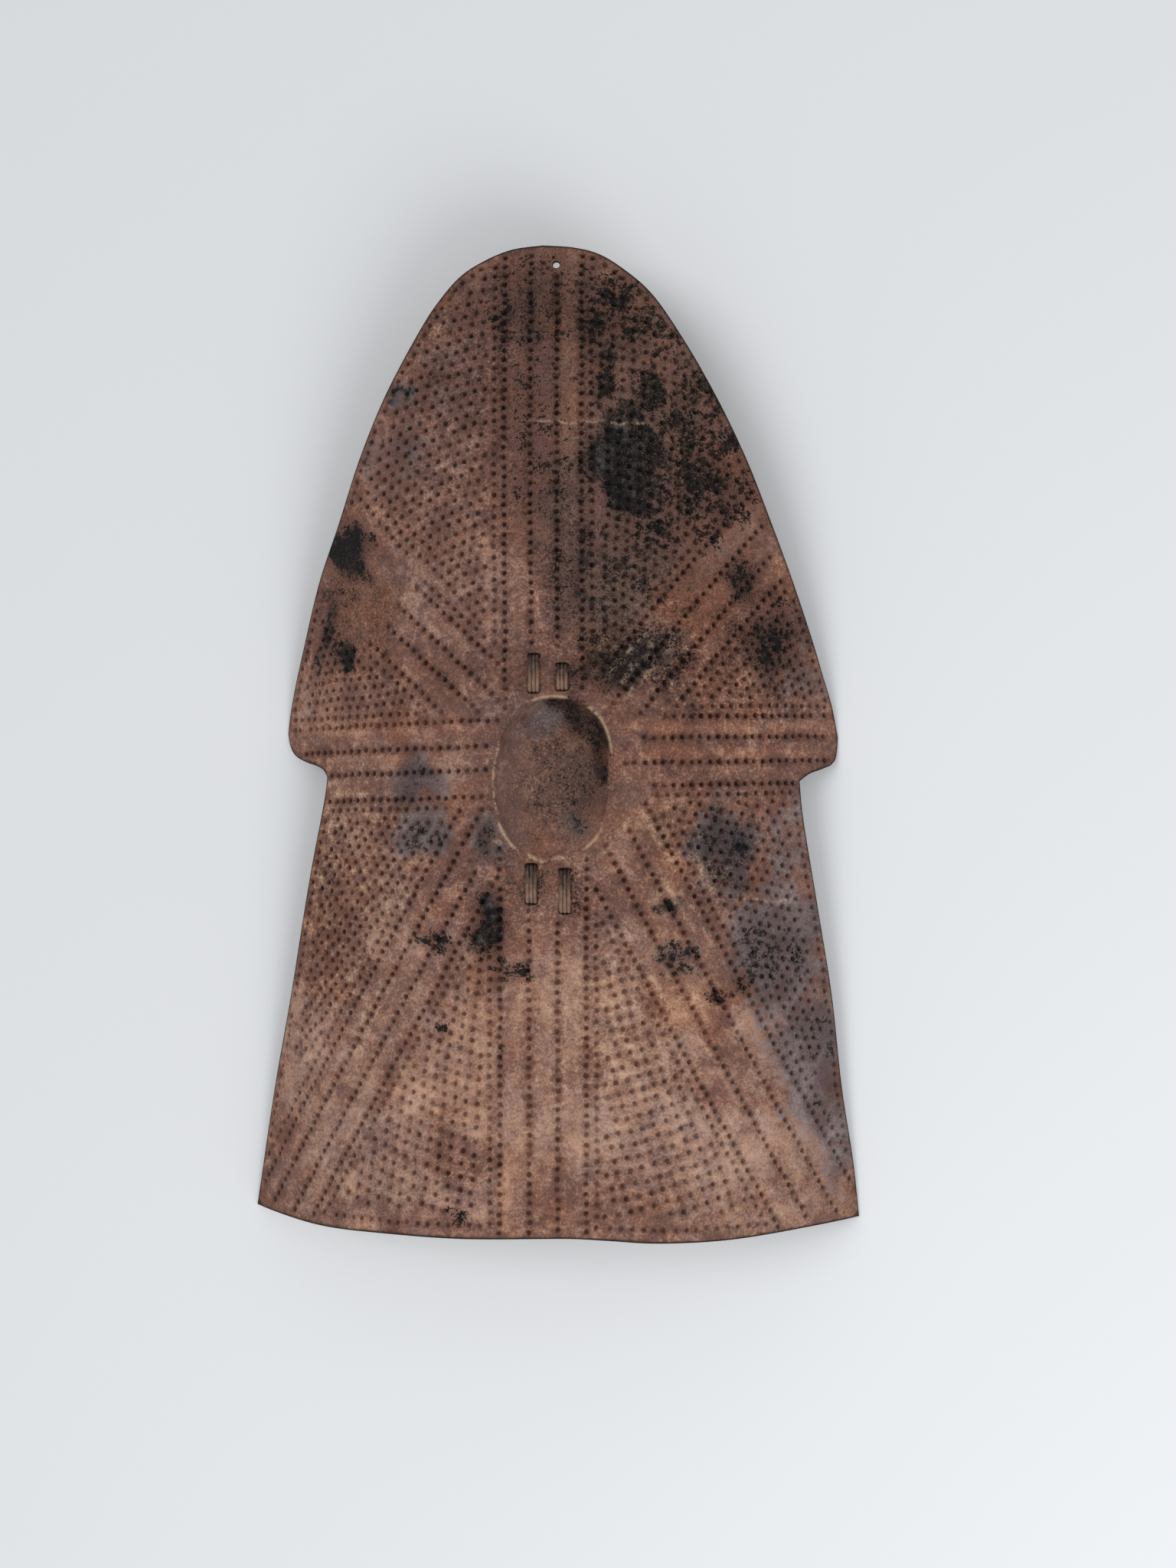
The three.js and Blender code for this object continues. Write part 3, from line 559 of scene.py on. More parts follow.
STAINS = [
    (150, 325, 90, 190, -26, 0.52), (175, 262, 56, 40, -30, 0.6), (70, 440, 70, 56, -20, 0.6),
    (0, 460, 90, 60, 0, 0.42), (0, 330, 50, 150, 0, 0.34), (86, 288, 34, 54, 0, 1.5),
    (110, 364, 13, 24, -20, 0.95),
    (-222, 202, 27, 28, -20, 0.95), (-157, 370, 24, 13, -10, 0.5), (-168, 300, 26, 32, -30, 0.42),
    (-226, 92, 13, 18, 0, 0.8), (-246, 108, 12, 44, -15, 0.66), (-57, -203, 20, 40, 4, 0.8),
    (-28, -244, 22, 12, 0, 0.66), (-118, -211, 22, 13, -30, 0.6), (-107, -303, 8, 7, 0, 0.6),
    (160, 372, 24, 46, -30, 0.7), (60, 372, 16, 24, 0, 0.7), (204, 165, 18, 24, 0, 0.66),
    (240, 112, 26, 44, -20, 0.6), (60, 150, 40, 70, 0, 0.46), (60, 70, 40, 24, 0, 0.5),
    (186, -118, 22, 44, 0, 0.46), (131, -176, 18, 9, 0, 0.66), (137, -237, 30, 24, -10, 0.56),
    (180, -270, 13, 10, 0, 0.8), (240, -236, 40, 46, 0, 0.42), (290, -345, 20, 70, 10, 0.38),
    (205, -262, 16, 14, 0, 0.66), (-58, -106, 14, 18, 0, 0.5), (-140, -40, 28, 26, 0, 0.42),
    (-130, -100, 26, 20, 20, 0.4), (-96, -500, 16, 12, 0, 0.5), (-44, -335, 5, 20, 0, 0.6),
    (104, 84, 26, 18, 20, 0.5), (42, 14, 14, 32, 40, 0.56), (56, -22, 10, 30, 2, 0.5),
    (22, 34, 24, 8, -16, 0.6), (36, -60, 24, 40, 0, 0.44),
]
SMUDGES = [
    (248, -230, 56, 76, 0, 0.9), (278, -345, 40, 76, 8, 0.95), (302, -430, 24, 60, 8, 0.9),
    (-140, -40, 32, 30, 0, 0.95), (-130, -98, 36, 28, 0, 0.85), (-165, 300, 36, 46, -30, 0.5),
    (-155, 368, 32, 22, -10, 0.55), (186, -120, 32, 50, 0, 0.8), (105, 85, 34, 26, 20, 0.5),
    (4, 16, 26, 18, 0, 0.7), (36, -86, 18, 14, 0, 0.6), (20, 35, 36, 12, 0, 0.5),
    (-58, -106, 26, 28, 0, 0.6), (86, 288, 36, 56, 0, 0.6), (-110, 380, 60, 40, 0, 0.3),
    (262, 66, 34, 30, 0, 0.45), (60, 160, 40, 60, 0, 0.35), (-57, -203, 24, 44, 4, 0.4),
    (256, -110, 26, 70, 4, 0.55), (137, -237, 30, 24, -10, 0.5),
]
STUBBLE = [
    (8, -35, 34, 56, 0, 0.9), (100, 150, 44, 44, 0, 0.9), (60, 110, 40, 30, 0, 0.7),
    (27, 330, 12, 170, 0, 0.7), (-200, 140, 40, 44, 0, 0.6), (-130, -90, 30, 14, 0, 0.9),
    (50, -95, 40, 24, 0, 0.8), (110, -85, 30, 30, 0, 0.8), (-38, -470, 14, 60, 0, 0.5),
    (150, 380, 80, 120, -26, 0.5), (-20, -150, 30, 50, 0, 0.5), (-130, -250, 60, 30, 0, 0.4),
]
# Places where the welt round the boss and the rims of the marks go pale: wear, and on the raised welt a
# painted highlight.
RUBBED_AND_LIT = [
    (-53, -50, 12, 46, 0, 0.55), (-38, -102, 14, 14, 0, 0.75), (8, -122, 26, 12, 0, 0.75),
    (48, -100, 24, 16, 0, 0.75), (58, 10, 12, 26, 30, 0.7), (2, 48, 32, 12, 0, 0.85),
    (70, -40, 8, 30, 0, 0.3), (114, -96, 30, 26, 0, 0.6),
    (-225, -130, 80, 100, 0, 0.55), (-210, -250, 60, 80, 0, 0.45), (110, 76, 60, 40, 0, 0.35),
    (150, -150, 40, 50, 0, 0.45), (80, -300, 90, 90, 0, 0.45),
]
PLACE_SOFTNESS = 0.6
PLACE_WANDER_FROM = 30
EDGE_WAVES = np.geomspace(15.0, 90.0, 9)
EDGE_WANDER = 0.075
WANDER_SEED = 3


def edge_wander(plan):
    """How far the edges of places wander at plan points: the sum of a few waves across them."""
    rng = np.random.default_rng(WANDER_SEED)
    moved = np.zeros(plan.shape)
    for length in EDGE_WAVES:
        run, phase, aside = rng.uniform(0.0, math.tau, 3)
        across = plan[:, 0] * math.cos(run) + plan[:, 1] * math.sin(run)
        wave = np.sin(across * math.tau / length + phase)
        moved += np.outer(wave, (math.cos(aside), math.sin(aside))) * length * EDGE_WANDER
    return moved


def place_masks(plan, places):
    """For each place, how far in it each plan point is, and the place's strength."""
    wander = edge_wander(plan)
    for x, y, half_x, half_y, turn, strength in places:
        a = math.radians(turn)
        share = min(1.0, half_x / PLACE_WANDER_FROM, half_y / PLACE_WANDER_FROM)
        dx, dy = plan[:, 0] - x + wander[:, 0] * share, plan[:, 1] - y + wander[:, 1] * share
        across = (dx * math.cos(a) + dy * math.sin(a)) / half_x
        along = (dy * math.cos(a) - dx * math.sin(a)) / half_y
        yield smooth((1.0 + PLACE_SOFTNESS - np.hypot(across, along)) / (2 * PLACE_SOFTNESS)), strength


def sum_of_places(plan, places):
    return sum(mask * strength for mask, strength in place_masks(plan, places))


def strongest_place(plan, places):
    return np.max([mask * strength for mask, strength in place_masks(plan, places)], axis=0)


# Creases, each from a place to a place
CREASES = [((-16, 331), (112, 330)), ((196, -170), (264, -173))]
CREASE_STEP = 2.4
CREASE_OFFSETS = (-2.2, -0.8, 0.0, 0.8, 2.2)
CREASE_DEPTH = 0.4
CREASE_HALF = 1.6
CREASE_FADE = 14.0
CREASE_WANDER = 1.4
CREASE_WAVES = ((9.0, 1.0, 0.0), (4.1, 0.6, 1.0))


def crease_points():
    """Rows of plan points along the creases, and how deep in the crease each one is."""
    rows, shares = [], []
    for start, end in CREASES:
        run = np.array(end, dtype=float) - start
        length = float(np.linalg.norm(run))
        along = np.arange(0.0, length, CREASE_STEP)
        aside = np.array([-run[1], run[0]]) / length
        wander = sum(size * np.sin(along / wave + phase) for wave, size, phase in CREASE_WAVES)
        wander = CREASE_WANDER * wander
        fade = smooth(np.minimum(along, length - along) / CREASE_FADE)
        for offset in CREASE_OFFSETS:
            rows.append(np.array(start) + np.outer(along / length, run) + np.outer(wander + offset, aside))
            shares.append(fade * max(0.0, 1.0 - abs(offset) / CREASE_HALF))
    return np.vstack(rows), np.concatenate(shares)


# Punch marks
class Marks:
    """The places that are punched, each kept apart from the ones before it."""

    def __init__(self, seed):
        self.rng = np.random.default_rng(seed)
        self.places = []
        self.press = []

    def punch(self, place, press, wander=HAND_WANDER):
        place = np.asarray(place) + self.rng.normal(0.0, wander / 2, 2)
        press = press * self.rng.uniform(*PRESS_RANGE)
        if self.places and np.min(np.abs(np.array(self.places) - place).max(axis=1)) < LEAST_GAP:
            gap = np.linalg.norm(np.array(self.places) - place, axis=1).min()
            if gap < LEAST_GAP:
                return
        self.places.append(place)
        self.press.append(press)


def row_marks(marks, band, offset, reach, spacing, press, margin):
    """Marks along one straight row, evenly spaced on the sheet, from a reach to the rim."""
    d = heading(band["bearing"])
    start = reach
    while room(row_start(band, offset, reach)[None])[0] > margin:
        at = row_start(band, offset, reach)
        share = FAINT_SHARE + (1.0 - FAINT_SHARE) * float(clamp((reach - start) / FAINT_REACH))
        if band["bearing"] == WORN_ROWS["bearing"]:
            share *= 1.0 - float(smooth((reach - WORN_ROWS["reach"]) / WORN_ROWS["fade"]))
        if share > LEAST_PRESS:
            marks.punch(at, press * share, HAND_WANDER * ROW_WANDER_SHARE)
        reach += spacing / stretch(at[0], at[1], d) * marks.rng.uniform(*ROW_JITTER)


def in_field(k, plan, gap):
    """Whether plan points lie in field k, clear of the bands on both sides of it."""
    band, after = BANDS[k], BANDS[(k + 1) % len(BANDS)]
    left = band_place(band, plan)[0] - band["rows"][3]
    right = after["rows"][0] - band_place(after, plan)[0]
    ahead = band_place({"bearing": field_bearing(k)}, plan)[1]
    return (left > gap) & (right > gap) & (ahead > 0)


def field_bearing(k):
    a = BANDS[k]["bearing"]
    b = BANDS[(k + 1) % len(BANDS)]["bearing"]
    return (a + b + (360 if b < a else 0)) / 2


def arc_marks(marks, k, field):
    """Marks on arcs across one field, each arc a step further out than the one before."""
    middle = math.radians(field_bearing(k))
    out = heading(field_bearing(k))
    centre = np.array(PATTERN_CENTRE) + out * field["centre"]
    reach, phase = ARC_FIRST, 0.0
    field["arcs"] = []
    while reach < ARC_LAST:
        far = float(clamp((reach - FIELD_REACH[0]) / (FIELD_REACH[1] - FIELD_REACH[0])))
        spacing = mix(*field["spacing"], far)
        radius = abs(field["centre"]) + reach
        field["arcs"].append(radius)
        for side in (1, -1):
            angle = middle + (phase if side > 0 else phase - 1.0) * spacing / radius
            while abs(angle - middle) < ARC_HALF_TURN:
                spoke = np.array([math.cos(angle), math.sin(angle)])
                at = centre + spoke * radius
                if in_field(k, at[None], COMPANION_GAP + FIELD_GAP)[0] and clear(at):
                    marks.punch(at, FIELD_PRESS)
                if abs(at[0]) > SHOULDER_HALF + PAST_SHEET or abs(at[1]) > TIP_Y + PAST_SHEET:
                    break
                angle += side * spacing / stretch(at[0], at[1], np.array([-spoke[1], spoke[0]])) / radius
        at = centre + out * radius
        reach += mix(*field["step"], far) / stretch(at[0], at[1], out) * marks.rng.uniform(*ARC_JITTER)
        phase = (phase + field["shift"] + marks.rng.normal(0.0, ARC_PHASE_WANDER)) % 1.0


def clear(at):
    """Whether a place is well inside the rim and off the boss and the laces."""
    at = at[None]
    low = at[0, 1] < BOTTOM_Y + RIM_ROW["bottom"] + FIELD_CLEAR["bottom"]
    margin = RIM_ROW["side"] + FIELD_CLEAR["rim"]
    if low or room(at)[0] < margin or from_foot(at)[0] < FIELD_CLEAR["foot"]:
        return False
    return not on_laces(at)[0]


def on_laces(plan, margin=4.0):
    hit = np.zeros(len(plan), dtype=bool)
    for grip in GRIPS.values():
        a, b, c, d = grip["runs"]
        x = np.abs(plan[:, 0] - grip_x(grip, plan[:, 1])) < LACE_WIDTH / 2 + margin
        y = plan[:, 1]
        hit |= x & (((y < a + margin) & (y > b - margin)) | ((y < c + margin) & (y > d - margin)))
    return hit


def rim_marks(marks):
    """A row just inside the rim of each field."""
    bottom = OUTLINE[:, 1] < BOTTOM_Y + 8
    side = inset(OUTLINE, RIM_ROW["side"])
    low = inset(OUTLINE, RIM_ROW["bottom"])
    loop = np.where(bottom[:, None], low, side)
    places = on_sheet(loop, 0.0)
    run = run_length(places)
    for at in np.arange(0.0, run[-1], RIM_ROW["spacing"]):
        place = np.array([np.interp(at, run, loop[:, 0]), np.interp(at, run, loop[:, 1])])
        fields = [in_field(k, place[None], COMPANION_GAP + RIM_ROW["gap"])[0] for k in range(len(BANDS))]
        if any(fields) and room(place[None])[0] > RIM_ROW["side"] * 0.5:
            marks.punch(place, RIM_ROW["press"])


def all_marks(seed):
    """Every punch mark: the bands' rows, the rows beside them, the rim rows and the fields."""
    marks = Marks(seed)
    for band in BANDS:
        for offset, reach in zip(band["rows"], band["marks"]):
            row_marks(marks, band, offset, reach, ROW_SPACING, ROW_PRESS, ROW_MARGIN)
    for k, band in enumerate(BANDS):
        after = BANDS[(k + 1) % len(BANDS)]
        beside = ((band, band["rows"][3] + COMPANION_GAP), (after, after["rows"][0] - COMPANION_GAP))
        apex = meet(*beside[0], *beside[1])
        for one, offset in beside:
            reach = max(band_place(one, apex[None])[1][0] + COMPANION_APEX_STEP, COMPANION_FROM)
            row_marks(marks, one, offset, reach, COMPANION_SPACING, FIELD_PRESS, COMPANION_MARGIN)
    rim_marks(marks)
    for k, field in enumerate(FIELDS.values()):
        arc_marks(marks, k, field)
    places, press = np.array(marks.places), np.array(marks.press)
    keep = (from_foot(places) > MARK_CLEAR["foot"]) & ~on_laces(places) & (room(places) > MARK_CLEAR["rim"])
    hole = np.linalg.norm(places - HOLE_CENTRE, axis=1) > HOLE_RADIUS + MARK_CLEAR["hole"]
    return places[keep & hole], press[keep & hole]


# Laces
def grip_x(grip, y):
    _, b, c, _ = grip["runs"]
    return mix(grip["x"][0], grip["x"][1], clamp((b - y) / (b - c)))


def slit_places(grip):
    a, b, c, d = grip["runs"]
    return [a - HALF_THICK, b + HALF_THICK, c - HALF_THICK, d + HALF_THICK]


# Mesh building
def rounded_slot(centre, half_width, half_length, count):
    """A closed slot outline with round corners, counter-clockwise."""
    angle = np.arange(count) * 2 * math.pi / count
    x = half_width * np.sign(np.cos(angle)) * np.abs(np.cos(angle)) ** SLIT_SQUARENESS
    y = half_length * np.sign(np.sin(angle)) * np.abs(np.sin(angle)) ** SLIT_SQUARENESS
    return np.stack([centre[0] + x, centre[1] + y], axis=1)


def openings():
    """Loops of the hanging hole and of the eight slits."""
    turn = np.arange(HOLE_SIDES) * math.tau / HOLE_SIDES
    loops = [np.array(HOLE_CENTRE) + HOLE_RADIUS * np.stack([np.cos(turn), np.sin(turn)], axis=1)]
    for grip in GRIPS.values():
        for y in slit_places(grip):
            centre = (float(grip_x(grip, y)), y)
            loops.append(rounded_slot(centre, LACE_WIDTH / 2 + CLEARANCE, REACH, SLIT_SIDES))
    return loops


def tree_of(plan):
    """A search tree of plan points."""
    tree = KDTree(len(plan))
    for i, (x, y) in enumerate(plan):
        tree.insert((x, y, 0.0), i)
    tree.balance()
    return tree


def further_than(gap, plan, others):
    """Whether each plan point is further than a gap from all the others."""
    tree = tree_of(others)
    return np.array([tree.find((x, y, 0.0))[2] > gap for x, y in plan])


class Skin:
    """Points of one face of the hide: a plan place to cut triangles by, and a place in space."""

    def __init__(self, first):
        self.first = first
        self.plan = []
        self.place = []
        self.count = 0
        self.loops = []

    def add(self, plan, place):
        ids = np.arange(self.count, self.count + len(plan))
        self.plan.append(plan)
        self.place.append(place)
        self.count += len(plan)
        return ids

    def loop(self, plan, place):
        ids = self.add(plan, place)
        self.loops.append(ids)
        return ids + self.first

    def triangles(self, flip):
        """Triangles between the points, inside the first loop and outside the others."""
        plan = np.vstack(self.plan)
        edges = [(int(a), int(b)) for ids in self.loops for a, b in zip(ids, np.roll(ids, -1))]
        points, _, faces, origin, _, _ = delaunay_2d_cdt([Vector(p) for p in plan], edges, [], 0, 1e-5)
        if len(points) != len(plan):
            raise RuntimeError(f"the skin's points meet: {len(plan)} became {len(points)}")
        faces = np.array([o[0] for o in origin])[np.array(faces)]
        middle = plan[faces].mean(axis=1)
        keep = within(plan[self.loops[0]], middle)
        for ids in self.loops[1:]:
            keep &= ~within(plan[ids], middle)
        faces = faces[keep]
        a, b, c = plan[faces[:, 0]], plan[faces[:, 1]], plan[faces[:, 2]]
        turn = (b[:, 0] - a[:, 0]) * (c[:, 1] - a[:, 1]) - (b[:, 1] - a[:, 1]) * (c[:, 0] - a[:, 0])
        wrong = (turn > 0) == flip
        faces[wrong] = faces[wrong][:, [0, 2, 1]]
        return faces + self.first


def stitch(outer, inner):
    """Four-sided faces between two loops of equal count."""
    after_o, after_i = np.roll(outer, -1), np.roll(inner, -1)
    return np.stack([outer, after_o, after_i, inner], axis=1)


def scatter(spacing, taken, clearance, seed):
    """Jittered plan points all over the outline, clear of the taken ones."""
    rng = np.random.default_rng(seed)
    low, high = OUTLINE.min(axis=0), OUTLINE.max(axis=0)
    columns = np.arange(low[0], high[0], spacing)
    rows = np.arange(low[1], high[1], spacing * SCATTER_ROWS)
    x, y = np.meshgrid(columns, rows)
    x[1::2] += spacing / 2
    plan = np.stack([x.ravel(), y.ravel()], axis=1)
    plan += rng.uniform(-SCATTER_JITTER, SCATTER_JITTER, plan.shape) * spacing
    plan = plan[within(inset(OUTLINE, spacing * SCATTER_RIM), plan)]
    return plan[further_than(clearance, plan, taken)]


def rosettes(places):
    """Points round each punch mark, in plan, closed up where the sheet is steep."""
    rng = np.random.default_rng(MESH_SEED)
    dx, dy = slopes(places[:, 0], places[:, 1])
    squeeze = np.stack([1 / np.sqrt(1 + dx**2), 1 / np.sqrt(1 + dy**2)], axis=1)
    turn = rng.uniform(0, math.tau, len(places))
    groups = []
    for ring, (radius, count) in enumerate(MARK_ROSETTE):
        for i in range(count):
            a = turn + (i + 0.5 * (ring % 2)) * math.tau / count
            groups.append(places + squeeze * radius * np.stack([np.cos(a), np.sin(a)], axis=1))
    return groups


def thinned(points, owner_places, owner_radius, least):
    """Drops points that fall inside another mark or on one another."""
    tree = tree_of(owner_places)
    kept = []
    grid = {}
    for (px, py), radius in zip(points, owner_radius):
        near = tree.find((px, py, 0.0))[2]
        if near < radius * MARK_OWN_SHARE:
            continue
        cell = (int(px // least), int(py // least))
        around = [(cell[0] + i, cell[1] + j) for i in (-1, 0, 1) for j in (-1, 0, 1)]
        if any((px - q[0]) ** 2 + (py - q[1]) ** 2 < least**2 for c in around for q in grid.get(c, ())):
            continue
        grid.setdefault(cell, []).append((px, py))
        kept.append((px, py))
    return np.array(kept)


def front_skin(places, rim_plan, holes):
    """The front face: rim loop, openings, boss and marks, with plain points between them."""
    skin = Skin(0)
    rim = skin.loop(rim_plan, on_sheet(rim_plan, 0.0))
    hole_ids = [skin.loop(loop, on_sheet(loop, -HOLE_SINK)) for loop in holes]
    collars, heights = [], []
    for loop in holes:
        centre = loop.mean(axis=0)
        out = (loop - centre) / np.linalg.norm(loop - centre, axis=1)[:, None]
        for by, height in HOLE_COLLARS:
            collars.append(loop + out * by)
            heights.append(np.full(len(loop), height))
    collars = np.vstack(collars)
    skin.add(collars, on_sheet(collars, np.concatenate(heights)))
    taken = [rim_plan, collars, *holes]
    for k, out in enumerate(FOOT_RINGS):
        angle = (np.arange(FOOT_POINTS) + 0.5 * (k % 2)) * 360 / FOOT_POINTS
        plan = boss_ring(angle, foot_at(angle) + lobes_at(angle) + out)
        skin.add(plan, lift(plan, WELT_RISE * math.exp(-(((out - WELT_AT) / WELT_SPREAD) ** 2))))
        taken.append(plan)
    for k, rho in enumerate(DOME_RINGS):
        count = max(10, round(math.tau * DOME_RADIUS * rho / mix(*DOME_SPACING, rho**4)))
        angle = (np.arange(count) + 0.5 * (k % 2)) * 360 / count
        plan = boss_ring(angle, (foot_at(angle) + lobes_at(angle) * rho**12) * rho)
        skin.add(plan, lift(plan, BOSS_HEIGHT * (1 - rho**2) ** BOSS_FULLNESS))
        taken.append(plan)
    top = np.array([BOSS_CENTRE])
    skin.add(top, lift(top, BOSS_HEIGHT))
    taken.append(top)
    creases, creased = crease_points()
    skin.add(creases, on_sheet(creases, band_relief(creases) - creased * CREASE_DEPTH))
    taken.append(creases)
    blocked = np.vstack(taken)

    radii = [r for r, count in MARK_ROSETTE for _ in range(count)]
    owner_radius = np.repeat(radii, len(places))
    points = thinned(np.vstack(rosettes(places)), places, owner_radius, MARK_POINT_GAP)
    points = points[further_than(FIXED_POINT_GAP, points, blocked)]
    points = points[within(inset(OUTLINE, RIM_POINT_GAP), points)]
    plain = scatter(FRONT_FILL, np.vstack([blocked, points]), PLAIN_POINT_GAP, MESH_SEED)
    plain = plain[from_foot(plain) > FOOT_POINT_GAP]
    sheet = np.vstack([points, plain])
    skin.add(sheet, on_sheet(sheet, band_relief(sheet) + arc_relief(sheet)))
    return skin, rim, hole_ids


def back_skin(first, rim_plan, holes):
    """The back face, one thickness in, with the hollow of the boss."""
    skin = Skin(first)
    rim = skin.loop(rim_plan, on_sheet(rim_plan, -HIDE_THICKNESS))
    hole_ids = [skin.loop(loop, on_sheet(loop, -HIDE_THICKNESS)) for loop in holes]
    taken = [rim_plan, *holes]
    angle = np.arange(HOLLOW_POINTS) * 360 / HOLLOW_POINTS
    for out in HOLLOW_FOOT_RINGS:
        plan = boss_ring(angle, foot_at(angle) - HIDE_THICKNESS * HOLLOW_FOOT + out)
        skin.add(plan, on_sheet(plan, np.full(len(plan), -HIDE_THICKNESS)))
        taken.append(plan)
    for k, rho in enumerate(HOLLOW_RINGS):
        count = max(10, round(HOLLOW_POINTS * rho))
        a = (np.arange(count) + 0.5 * (k % 2)) * 360 / count
        radius = foot_at(a)
        slope = 2 * BOSS_FULLNESS * BOSS_HEIGHT * rho * (1 - rho**2) ** (BOSS_FULLNESS - 1) / radius
        unit = np.hypot(slope, 1)
        plan = boss_ring(a, radius * rho - HIDE_THICKNESS * slope / unit)
        skin.add(plan, lift(plan, BOSS_HEIGHT * (1 - rho**2) ** BOSS_FULLNESS - HIDE_THICKNESS / unit))
        taken.append(plan)
    top = np.array([BOSS_CENTRE])
    skin.add(top, lift(top, BOSS_HEIGHT - HIDE_THICKNESS))
    taken.append(top)
    plain = scatter(BACK_FILL, np.vstack(taken), BACK_FILL * BACK_FILL_GAP, MESH_SEED + 1)
    plain = plain[from_foot(plain) > FOOT_POINT_GAP]
    skin.add(plain, on_sheet(plain, -HIDE_THICKNESS))
    return skin, rim, hole_ids


def hide_mesh(places):
    """The whole hide as one closed mesh, before the marks are punched in."""
    loops = [inset(OUTLINE, by) for by, _ in RIM_PROFILE]
    holes = openings()
    front, front_rim, front_holes = front_skin(places, loops[0], holes)
    rings = [on_sheet(loop, -depth) for loop, (_, depth) in zip(loops[1:-1], RIM_PROFILE[1:-1])]
    back, back_rim, back_holes = back_skin(front.count, loops[-1], holes)
    first = front.count + back.count
    n = len(OUTLINE)
    walls = [first + n * i + np.arange(n) for i in range(len(rings))]
    chain = [front_rim, *walls, back_rim]
    faces = [*front.triangles(False).tolist(), *back.triangles(True).tolist()]
    for outer, inner in zip(chain, chain[1:]):
        faces += stitch(inner, outer).tolist()
    for top_ids, low_ids in zip(front_holes, back_holes):
        faces += stitch(top_ids, low_ids).tolist()
    place = np.vstack([*front.place, *back.place, *rings])
    place[:, 2] = np.maximum(place[:, 2], 0.0)
    mesh = bpy.data.meshes.new("embossed_hide")
    mesh.from_pydata(to_frame(place).tolist(), [], faces)
    mesh.update()
    total = len(place)
    plan = np.vstack([*front.plan, *back.plan, *loops[1:-1]])
    gap = from_foot(plan)
    is_front = np.arange(total) < front.count
    edge = np.zeros(total)
    edge[front_rim] = FRONT_EDGE_DARK
    edge[first:] = 1.0
    edge[back_rim] = BACK_EDGE_DARK
    for ids in (*front_holes, *back_holes):
        edge[ids] = 1.0
    store(mesh, "front", is_front.astype(float))
    store(mesh, "sheet", (is_front & (gap > SHEET_FROM_FOOT)).astype(float) * (edge == 0))
    store(mesh, "edge", edge)
    store(mesh, "welt", np.where(is_front, np.exp(-(((gap - WELT_AT) / WELT_SPREAD) ** 2)), 0.0))
    store(mesh, "boss", np.where(is_front, smooth((1.0 - gap) / 3.0), 0.0))
    store(mesh, "flute", np.where(is_front, band_relief(plan) + arc_relief(plan), 0.0))
    for name, spots in (("lightness", LIGHTNESS), ("warmth", WARMTH)):
        store(mesh, name, np.where(is_front, sum_of_places(plan, spots), 0.0))
    for name, spots in (("stain", STAINS), ("smudge", SMUDGES), ("stubble", STUBBLE), ("rub", RUBBED_AND_LIT)):
        store(mesh, name, np.where(is_front, strongest_place(plan, spots), 0.0))
    creased = np.zeros(total)
    tree = tree_of(plan[:front.count])
    for (x, y), share in zip(*crease_points()):
        creased[tree.find((x, y, 0.0))[1]] = share
    store(mesh, "crease", creased)
    return mesh


def store(mesh, name, values):
    attribute = mesh.attributes.new(name, "FLOAT", "POINT")
    attribute.data.foreach_set("value", np.ascontiguousarray(values, dtype=np.float32))


# Node trees
class Wire:
    """One output socket. Sums on it add the Math nodes that work them out."""

    def __init__(self, nodes, socket):
        self.nodes = nodes
        self.socket = socket

    def math(self, operation, *values, clamped=False):
        return self.nodes.add("ShaderNodeMath", {"operation": operation, "use_clamp": clamped},
                              dict(enumerate(values)))

    def __abs__(self):
        return self.math("ABSOLUTE", self)

    def __add__(self, other):
        return self.math("ADD", self, other)

    def __sub__(self, other):
        return self.math("SUBTRACT", self, other)

    def __mul__(self, other):
        return self.math("MULTIPLY", self, other)

    def __truediv__(self, other):
        return self.math("DIVIDE", self, other)

    def __radd__(self, other):
        return self.math("ADD", other, self)

    def __rsub__(self, other):
        return self.math("SUBTRACT", other, self)

    def __rmul__(self, other):
        return self.math("MULTIPLY", other, self)

    def __rtruediv__(self, other):
        return self.math("DIVIDE", other, self)

    def clamp(self):
        return self.math("ADD", self, 0.0, clamped=True)

    def most(self, other):
        return self.math("MAXIMUM", self, other)

    def ramp(self, low, high, start=0.0, end=1.0):
        """A smooth step from start to end as this goes from low to high."""
        values = {"Value": self, "From Min": low, "From Max": high, "To Min": start, "To Max": end}
        return self.nodes.add("ShaderNodeMapRange", {"interpolation_type": "SMOOTHSTEP"}, values)


class Nodes:
    """Adds nodes to a tree: a type, its settings, then the values or links of its sockets."""

    def __init__(self, tree):
        self.tree = tree

    def add(self, kind, settings=None, inputs=None, output=0):
        node = self.tree.nodes.new(kind)
        for name, value in (settings or {}).items():
            if name == "curve":
                fill_curve(node.mapping, value)
            elif name == "stops":
                fill_stops(node.color_ramp, value)
            else:
                setattr(node, name, value)
        for name, value in (inputs or {}).items():
            if isinstance(value, Wire):
                self.tree.links.new(value.socket, node.inputs[name])
            else:
                node.inputs[name].default_value = value
        return Wire(self, node.outputs[output]) if len(node.outputs) else None

    def vector(self, operation, a, b):
        """Vector maths on two vectors, or on a vector and a scale."""
        second = "Scale" if operation == "SCALE" else 1
        return self.add("ShaderNodeVectorMath", {"operation": operation}, {0: a, second: b}, output="Vector")

    def other(self, wire, output):
        """Another output of the node that a wire comes from."""
        return Wire(self, wire.socket.node.outputs[output])


def fill_curve(mapping, points):
    curve = mapping.curves[0]
    mapping.use_clip = False
    while len(curve.points) < len(points):
        curve.points.new(0.5, 0.5)
    for point, (x, y) in zip(curve.points, points):
        point.location = (x, y)
        point.handle_type = "AUTO_CLAMPED"
    mapping.update()


def fill_stops(ramp, stops):
    while len(ramp.elements) < len(stops):
        ramp.elements.new(1.0)
    for element, (at, colour) in zip(ramp.elements, stops):
        element.position = at
        element.color = colour


